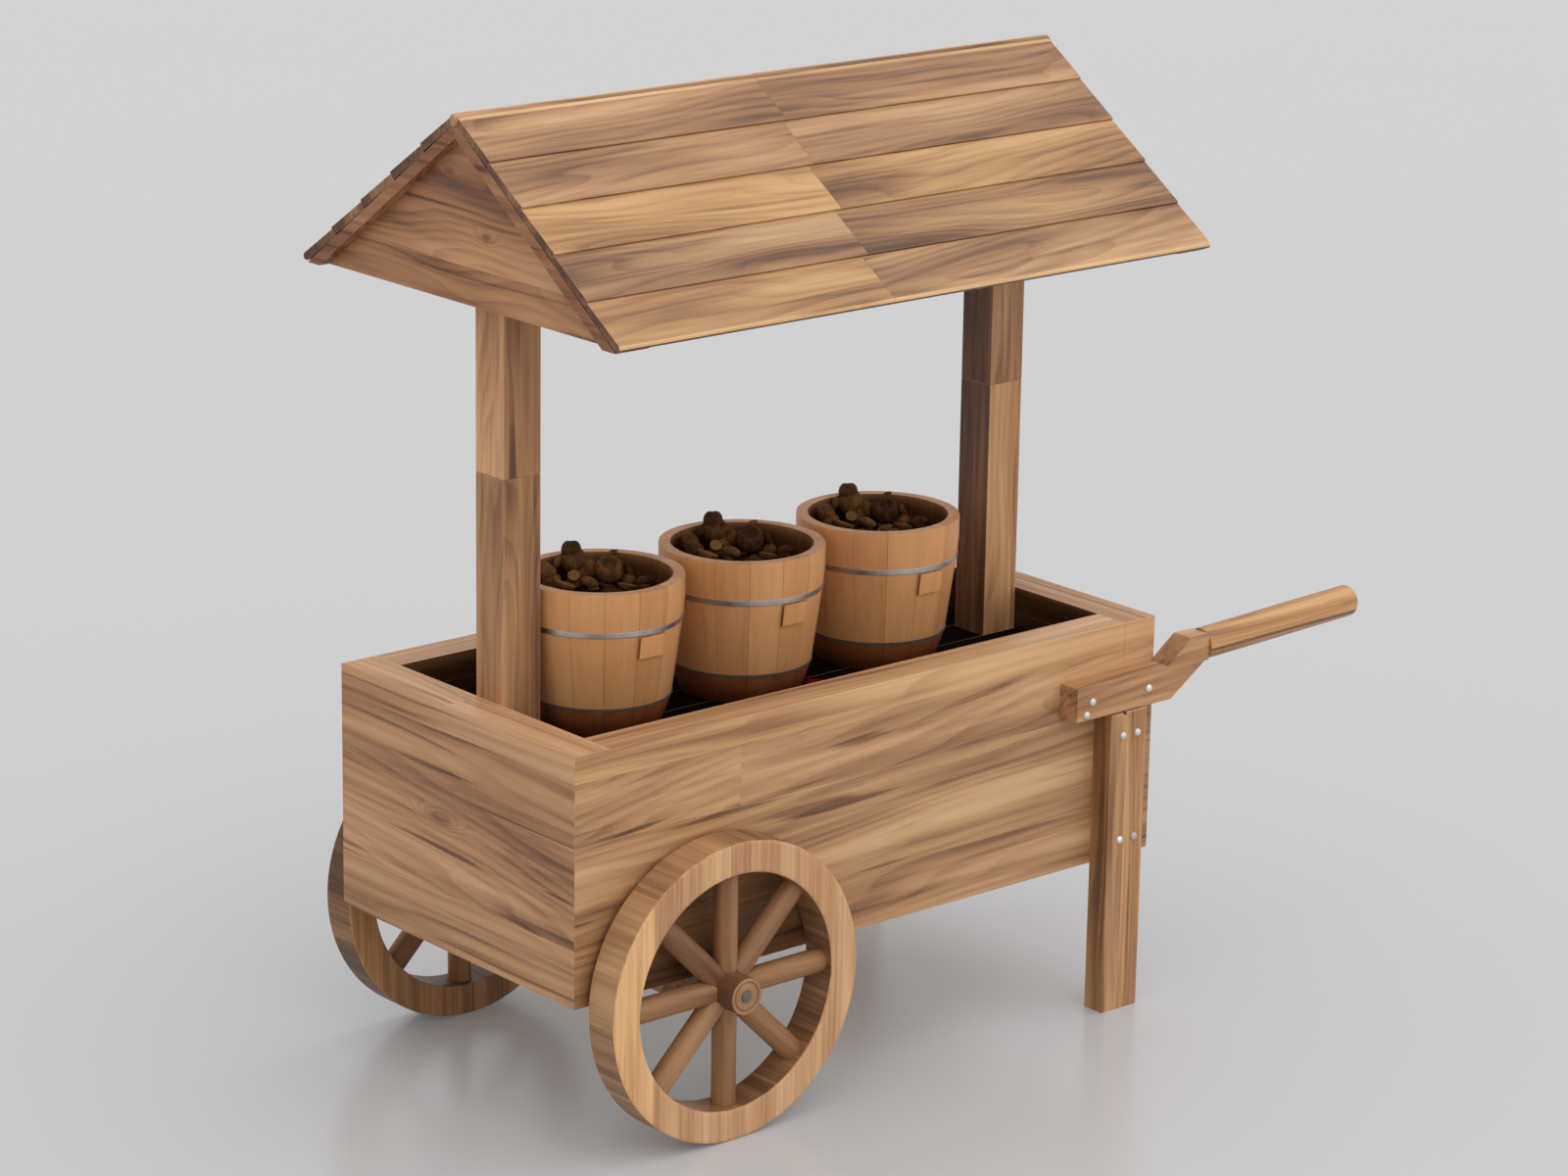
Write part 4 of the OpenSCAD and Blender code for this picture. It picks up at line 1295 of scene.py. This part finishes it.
def rakes():
    tan = math.tan(roof["pitch"])
    drop = roof["rakeHeight"] / math.cos(roof["pitch"])
    for end in ("wheel_end", "handle_end"):
        for label, side in bothSides:
            node = f"{end}_{label}_rake"
            low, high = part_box(node)
            half = max(abs(low.y), abs(high.y))
            outline = [(0, high.z), (0, high.z - drop), (side * (half - drop / tan), low.z),
                       (side * half, low.z)]
            down = slopeWays(side)[0]
            made = Stock().prism(outline, low.x, high.x, "x", roof["arris"],
                                 grain=lambda place, normal, middle: (place.dot(down), place.x, place.z))
            made.piece(node + "_strip", rakeWood, "cart", "gable_wood", node)


postPieces()
roofBoards()
ridgeRoll()
gables()
rakes()
say("posts and roof are in")


barrel = {
    "staves": 15, "joint": 0.0006, "sunk": 0.0005, "steps": 4, "thick": 0.024, "ease": 0.0020,
    "footEase": (0.0008, 0.0002, 0.0012),   # in at the foot, out above it, and how high
    "rimBand": 0.012, "turn": 0.13, "footShadeLine": 0.060, "mouthShade": 0.58, "mouthFall": 14.0,
    "hoops": ((0.058, 0.006, 1.0), (0.211, 0.011, 0.0)),   # foot, height and tone
    "hoopThick": 0.0015, "hoopFit": 0.0001, "hoopArris": 0.00045,
    # a red patch by the foot, off each barrel's middle
    "redPatch": (0.090, -0.092, 0.016),
    "tag": (0.058, 0.045, 0.005), "tagTurn": -90.0, "tagDrop": 0.002, "tagArris": 0.0009,
    "tagCut": (-0.14, 0.1, 0.0), "tagSideShadeCut": (0.9, -0.4, 0.0),
    "levels": ((0.122, 0.0), (0.141, 0.058), (0.163, 0.222), (0.166, 0.256), (0.166, 0.298)),
}
barrelXs = [sum(corner.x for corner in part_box(f"barrel_{i}_staves")) / 2 for i in (1, 2, 3)]


def barrelFootShade(finish, colour):
    # painted shade: the foot below the thin hoop is darker and redder, and darker still just above the deck;
    # a red patch sits at each foot's near side
    place = finish.place()
    z, uneven = finish.split(place)[2], unevenness(finish, place)
    line = deckTop + barrel["footShadeLine"]
    foot = 1.0 - (z + uneven * 0.3).over(line - 0.006, line + 0.002)
    low = 1.0 - (z + uneven).over(deckTop + 0.002, deckTop + 0.050)
    colour = finish.mix(foot, colour, finish.times(colour, (0.40, 0.26, 0.22)))
    colour = finish.mix(low * 0.8, colour, finish.times(colour, (0.40, 0.30, 0.27)))
    red, (patchX, patchY, patchZ) = finish.value(0.0), barrel["redPatch"]
    for centreX in barrelXs:
        away = finish.distance(place, (centreX + patchX, patchY, deckTop + patchZ))
        red = red.larger(1.0 - (away + uneven).over(0.014, 0.052))
    return finish.mix(red * 0.70, colour, (0.26, 0.022, 0.010))


barrelLook = {
    "broad": (2.0, 15.0), "middle": (3.0, 60.0), "level": 0.38, "toneSpread": 0.30,
    "fieldPart": 0.3, "broadPart": 0.5, "middlePart": 0.3, "darkPart": 0.08, "ringPart": 0.05,
    "tint": (0.94, 0.84, 0.77),
    "stops": [
        (0.00, (0.800, 0.455, 0.205)),
        (0.45, (0.640, 0.330, 0.137)),
        (0.80, (0.470, 0.225, 0.090)),
        (1.00, (0.280, 0.130, 0.058)),
    ],
    "paintedShadeColour": (0.16, 0.12, 0.085), "extra": barrelFootShade,
}
barrelWood = woodFinish("satinStaveWood", barrelLook)
baseWood = woodFinish("barrelBaseWood", {"light": 0.7}, grainAxis="x")


def staveSource(name):
    # one stave standing at the ring's +X, between two radial faces, its arrises eased
    solid = bmesh.new()
    half, steps, ease = math.pi / barrel["staves"], barrel["steps"], barrel["ease"]
    outline = barrel["levels"]
    inside = [(r - barrel["thick"], z) for r, z in outline]
    foot, (rimOut, rim), rimIn = outline[0][0], outline[-1], inside[-1][0]
    (inwards, outwards, up), below = barrel["footEase"], rim - barrel["rimBand"]
    # the outside going up to the eased rim, then the inside coming down
    loop = [(foot - inwards, 0.0), (foot + outwards, up), *outline[1:-1],
            (rimOut, below), (rimOut, rim - 2 * ease), (rimOut - 0.3 * ease, rim - 0.3 * ease),
            (rimOut - 2 * ease, rim), (rimIn + 2 * ease, rim), (rimIn + 0.3 * ease, rim - 0.3 * ease),
            (rimIn, rim - 2 * ease), (rimIn, below), *reversed(inside[:-1])]
    grid = []
    for k in range(steps + 1):
        edge = {0: 1, steps: -1}.get(k, 0)
        ring = []
        for r, z in loop:
            angle = -half + 2 * half * k / steps + edge * barrel["joint"] / 2 / r
            sunk = r - barrel["sunk"] * abs(edge)
            ring.append(solid.verts.new((sunk * math.cos(angle), sunk * math.sin(angle), z)))
        grid.append(ring)
    count = len(loop)
    for a, b in zip(grid, grid[1:]):
        for i in range(count):
            j = (i + 1) % count
            solid.faces.new([a[i], b[i], b[j], a[j]])
    solid.faces.new(grid[0])
    solid.faces.new(list(reversed(grid[-1])))
    bmesh.ops.recalc_face_normals(solid, faces=solid.faces)
    bmesh.ops.triangulate(solid, faces=[f for f in solid.faces if len(f.verts) > 4])

    def grain(place, normal, centre):
        return (place.z, math.atan2(place.y, place.x) * 0.15, math.hypot(place.x, place.y))

    def dusk(place, normal):
        # painted shade on the inside faces, darker downwards
        away = Vector((place.x, place.y, 0)).normalized()
        if normal.dot(away) < -0.5 and place.z > 0.05:
            return barrel["mouthShade"] + (rim - place.z) * barrel["mouthFall"]
        return 0.0

    stock = Stock()
    stock.take(solid, grain=grain, smooth=True, dusk=dusk)
    return linked(name, stock.mesh(name, withTone=False, sharp=28))


def radiusAt(z):
    # the outside of a stave at a height, below the upper hoop
    (r0, z0), (r1, z1) = barrel["levels"][:2] if z < barrel["levels"][1][1] else barrel["levels"][1:3]
    return r0 + (r1 - r0) * (z - z0) / (z1 - z0)


def barrelHoops(index, centre):
    node, thick, fit = f"barrel_{index}_hoops", barrel["hoopThick"], barrel["hoopFit"]
    stock = Stock()
    for z, h, tone in barrel["hoops"]:
        r0, r1 = radiusAt(z) + fit, radiusAt(z + h) + fit
        corners = [(r0, z), (r0 + thick, z), (r1 + thick, z + h), (r1, z + h)]
        stock.turned(ringProfile(corners, barrel["hoopArris"]), 90,
                     Matrix.Translation((centre, 0, deckTop)), True, grain="z", tone=tone)
    stock.piece(node + "_bands", hoopSteel, "cart", "hoop_steel", node)


def barrelTags():
    # a blank block on each barrel, under the upper hoop
    stock = Stock()
    levels = barrel["levels"]
    wide, tall, thick = barrel["tag"]
    lean = math.atan((levels[2][0] - levels[1][0]) / (levels[2][1] - levels[1][1]))
    top = barrel["hoops"][1][0] - barrel["tagDrop"]

    def cut(middle, normal):
        # the narrow sides get painted shade, the face is pale
        return barrel["tagSideShadeCut" if max(abs(normal.x), abs(normal.z)) > 0.6 else "tagCut"]

    for centre in barrelXs:
        solid = bmesh.new()
        bmesh.ops.create_cube(solid, size=1.0)
        bmesh.ops.scale(solid, vec=(thick, wide, tall), verts=solid.verts)
        bmesh.ops.translate(solid, vec=(thick / 2, 0, -tall / 2), verts=solid.verts)
        worn = bmesh.ops.bevel(
            solid, geom=solid.edges[:], offset=barrel["tagArris"], segments=2, profile=0.5,
            affect="EDGES")["faces"]
        place = (Matrix.Translation((centre, 0, deckTop))
                 @ Matrix.Rotation(math.radians(barrel["tagTurn"]), 4, "Z")
                 @ Matrix.Translation((radiusAt(top) + barrel["hoopFit"], 0, top))
                 @ Matrix.Rotation(lean, 4, "Y"))
        bmesh.ops.transform(solid, matrix=place, verts=solid.verts)
        stock.take(solid, grain="z", tone=0.4, worn=dict.fromkeys(worn, 0.4), cut=cut)
    stock.piece("blank_tags", barrelWood, "cart", "barrel_wood", "barrel_tags")


for index, centre in enumerate(barrelXs, 1):
    source = staveSource(f"staveSource{index}")
    grow(f"barrel_{index}_stave_ring", ringOfCopies, source, {
        "Count": barrel["staves"], "Axis": (0.0, 0.0, 1.0), "Centre": (centre, 0.0, deckTop),
        "Start turn": barrel["turn"], "Seed": 20 + index, "Material": barrelWood},
        "cart", "barrel_wood", f"barrel_{index}_staves")
    barrelHoops(index, centre)
    dress(f"barrel_{index}_base", baseWood)
barrelTags()
say("barrels are in")


nuts = {
    "bedDrop": 0.047, "bedRadius": 0.1405, "seed": 7, "sides": 18,
    # the filling below its top: radius and height, then its foot's radius
    "bedSides": ((0.1385, 0.222), (0.1166, 0.058)), "bedFoot": 0.104,
    # x, y, height of the middle above the bed and radius in millimetres, kind, turn in degrees
    "heap": (
        (24, 112, 38, 27, "capped", (-6, -10, 0)), (68, 55, 26, 28, "bowl", (24, -22, 0)),
        (-48, 106, 29, 20, "plain", (60, 0, 120)), (-4, 123, 42, 14, "almond", (30, 20, 60)),
        (48, 90, 26, 20, "bowl", (20, 30, 20)), (-2, 78, 21, 15, "half", (-24, -14, 140)),
        (-43, 54, 17, 20, "half", (10, 8, 30)), (6, 39, 16, 17, "almond", (80, 0, 200)),
        (14, -19, 12, 18, "half", (6, 12, 80)), (59, -12, 12, 18, "half", (0, 10, 20)),
        (103, -13, 14, 16, "almond", (84, 8, 60)), (84, -33, 12, 14, "half", (14, 0, 130)),
        (101, 35, 24, 14, "half", (64, 10, 70)), (97, 85, 46, 13, "almond", (50, 0, 30)),
        (30, 100, 14, 24, "plain", (0, 40, 10)), (92, 80, 26, 20, "plain", (30, 0, 50)),
        (-42, 96, 8, 22, "plain", (20, 20, 0)), (-2, 80, 4, 16, "almond", (90, 0, 40)),
        (98, 30, 4, 16, "plain", (0, 0, 0)), (-85, 47, 8, 22, "almond", (84, 0, 40)),
        (-85, -6, 6, 20, "half", (0, 12, 70)), (-44, -28, 4, 20, "almond", (86, 0, 20)),
        (-44, -81, 6, 22, "half", (8, 0, 160)), (-87, -63, 4, 18, "almond", (90, 0, 100)),
        (10, -88, 6, 21, "almond", (88, 0, 300)), (56, -88, 4, 18, "half", (4, 6, 15)),
        (-114, -18, 6, 17, "plain", (0, 0, 60)), (-5, -121, 5, 16, "half", (0, 16, 100)),
    ),
    "fillers": ((0.118, 15), (0.085, 10), (0.048, 6)),   # a ring's radius and how many
    "fillerSize": 0.013, "fillerSpread": 0.005,
    # (radius, height) from foot to tip, for a nut about one unit in radius
    "forms": {
        "almond": ((0, -1.16), (0.26, -1.08), (0.52, -0.84), (0.68, -0.42), (0.72, 0.0), (0.64, 0.42),
                   (0.46, 0.80), (0.24, 1.06), (0.08, 1.20), (0, 1.24)),
        "bowl": ((0, -0.96), (0.40, -0.90), (0.74, -0.67), (0.95, -0.30), (1.0, 0.06), (0.95, 0.40),
                 (0.80, 0.66), (0.64, 0.76), (0.52, 0.74), (0.44, 0.62), (0.38, 0.56), (0.20, 0.60),
                 (0, 0.61)),
        "capped": ((0, -1.0), (0.42, -0.93), (0.78, -0.66), (0.97, -0.24), (1.0, 0.14), (0.94, 0.46),
                   (0.82, 0.66), (0.73, 0.71), (0.71, 0.77), (0.75, 0.86), (0.72, 1.07), (0.60, 1.29),
                   (0.42, 1.45), (0.21, 1.55), (0, 1.58)),
        "half": ((0, -1.20), (0.30, -1.12), (0.60, -0.86), (0.80, -0.42), (0.84, 0.0), (0.76, 0.44),
                 (0.54, 0.84), (0.28, 1.12), (0, 1.24)),
        "plain": ((0, -0.94), (0.34, -0.90), (0.68, -0.70), (0.91, -0.36), (0.98, 0.0), (0.92, 0.34),
                  (0.72, 0.64), (0.42, 0.86), (0.14, 0.97), (0, 1.02)),
    },
    "flat": {"almond": 0.80, "half": 0.80},
}
nutKindNames = sorted(nuts["forms"])


def nutKinds():
    # worn marks the pale cut faces; a value below zero marks the reddish cap, and the bowl's dimple as
    # painted shade
    collection = bpy.data.collections.new("nutKinds")
    for index, kind in enumerate(nutKindNames):
        def shaped(place):
            lump = noise.noise(place * 1.3 + Vector((index * 3.1, 0, 0))) * 0.10
            lump += noise.noise(place * 4.2 + Vector((0, index * 5.7, 0))) * 0.035
            wide = place * (1 + lump)
            return Vector((wide.x, wide.y * nuts["flat"].get(kind, 1.0), wide.z))

        solid = bmesh.new()
        lathe(solid, nuts["forms"][kind], nuts["sides"], shaped)
        worn = {}
        if kind == "half":
            # split along its length, and laid on its back
            rim = halved(solid, plane_co=(0, 0.10, 0), plane_no=(0.10, 1, 0.06), clear_outer=True)
            flatFace = bmesh.ops.contextual_create(solid, geom=rim)["faces"]
            poked = bmesh.ops.poke(solid, faces=flatFace)["faces"]
            bmesh.ops.rotate(solid, matrix=Matrix.Rotation(math.pi / 2, 3, "X"), verts=solid.verts)
            worn = dict.fromkeys(poked, 1.0)
        if kind == "capped":
            worn = {face: -1.0 for face in solid.faces if face.calc_center_median().z > 0.74}
        if kind == "bowl":
            worn = {face: -1.0 for face in solid.faces
                    if face.calc_center_median().z > 0.5 and face.calc_center_median().xy.length < 0.56}
        stock = Stock()
        stock.take(solid, grain=lambda p, n, m: (p.z, p.x, p.y), smooth=True, worn=worn)
        mesh = stock.mesh("nutKind" + kind, withTone=False, sharp=55)
        collection.objects.link(bpy.data.objects.new(f"nutKind{index}", mesh))
    return collection


def nutFinish():
    finish = Finish("driedNutShells", roughness=0.55, specular=0.06)
    along, across, deep = finish.split(finish.attribute("grain", "Vector"))
    tone = finish.attribute("tone", "Fac")
    marked = finish.attribute("edge", "Fac")
    place = finish.place()
    mottle = finish.noise(place, 3.0, 0.6, 60.0)
    ribs = finish.noise(finish.join(along * 1.2 + tone * 31, across * 5.0, deep * 5.0 + tone * 9), 3.0, 0.6)
    fine = finish.noise(place, 2.0, 0.6, 420.0)
    shade = (mottle * 0.9 + ribs * 0.8 + tone * 0.40 + (fine - 0.5) * 0.3 - 0.55).over(0.0, 1.0)
    colour = finish.node("ShaderNodeValToRGB", {"stops": [
        (0.0, (0.235, 0.108, 0.034)), (0.35, (0.128, 0.055, 0.017)), (0.7, (0.066, 0.027, 0.010)),
        (1.0, (0.032, 0.013, 0.005))]}, {"Fac": shade})
    pale = marked * (1.1 - shade * 0.5)
    colour = finish.mix(pale * 0.75, colour, (0.30, 0.155, 0.062))
    colour = finish.mix((0.0 - marked) * 0.6, colour, (0.052, 0.023, 0.011))
    # painted shade: marked faces are darkened almost to black
    dusk = finish.attribute("dusk", "Fac").over(0.0, 1.0)
    colour = finish.mix(dusk, colour, (0.012, 0.008, 0.005))
    finish.give("Base Color", colour)
    finish.give("Roughness", 0.48 + mottle * 0.2)
    finish.bump(ribs + fine * 0.5, 0.0008, 0.7)
    return finish.material


def nutBed(name, centre, level):
    # the imported filling, lumpy on top, made near black as painted shade between the nuts
    radius = nuts["bedRadius"]
    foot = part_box(name)[0].z
    rings = [(radius * k / 9, level) for k in range(10)]
    rings += [(r, deckTop + up) for r, up in nuts["bedSides"]]
    rings += [(r, foot) for r in (nuts["bedFoot"], 0.05, 0.0)]
    stock, solid = Stock(), bmesh.new()

    def lumpy(place):
        top = place.z > level - 0.001 and math.hypot(place.x, place.y) < radius - 0.001
        lump = noise.noise(Vector((place.x * 40, place.y * 40, centre))) * 0.0045 - 0.003 if top else 0.0
        return place + Vector((centre, 0, lump))

    lathe(solid, rings, 48, lumpy)
    stock.take(solid, grain="z", tone=0.6, smooth=True, dusk=lambda p, n: 0.9)
    return stock.mesh(name + "_bed")


nutShells = nutFinish()
nutForms = nutKinds()
for index, centre in enumerate(barrelXs, 1):
    node = f"barrel_{index}_nuts"
    level = deckTop + barrel["levels"][-1][1] - nuts["bedDrop"]
    draw = random.Random(nuts["seed"] + index)
    spots = []
    for x, y, up, radius, kind, turn in nuts["heap"]:
        size = radius / 1000
        spots.append(((centre + x / 1000, y / 1000, level + up / 1000), nutKindNames.index(kind),
                      [math.radians(t) for t in turn], (size, size, size)))
    resting = {"almond": math.pi / 2, "half": 0.0}
    for ring, count in nuts["fillers"]:
        for k in range(count):
            a = math.tau * (k + draw.random() * 0.5) / count
            size = nuts["fillerSize"] + draw.random() * nuts["fillerSpread"]
            kind = draw.choice(sorted(resting))
            turn = (resting[kind] + draw.uniform(-0.3, 0.3), draw.uniform(-0.3, 0.3),
                    draw.uniform(0, math.tau))
            spots.append(((centre + ring * math.cos(a), ring * math.sin(a), level - 0.001),
                          nutKindNames.index(kind), turn, (size, size, size)))
    spotsMesh = spotsObject(node + "_spots", spots)
    grow(node + "_heap", copiesOnSpots, spotsMesh, {
        "Kinds": nutForms, "Seed": 30 + index, "Material": nutShells},
        "cart", "nut_shell", node, base=nutBed(node, centre, level))
for collection in (nutForms, boltKinds):
    for source in list(collection.objects):
        bpy.data.objects.remove(source)
say("nuts are in")
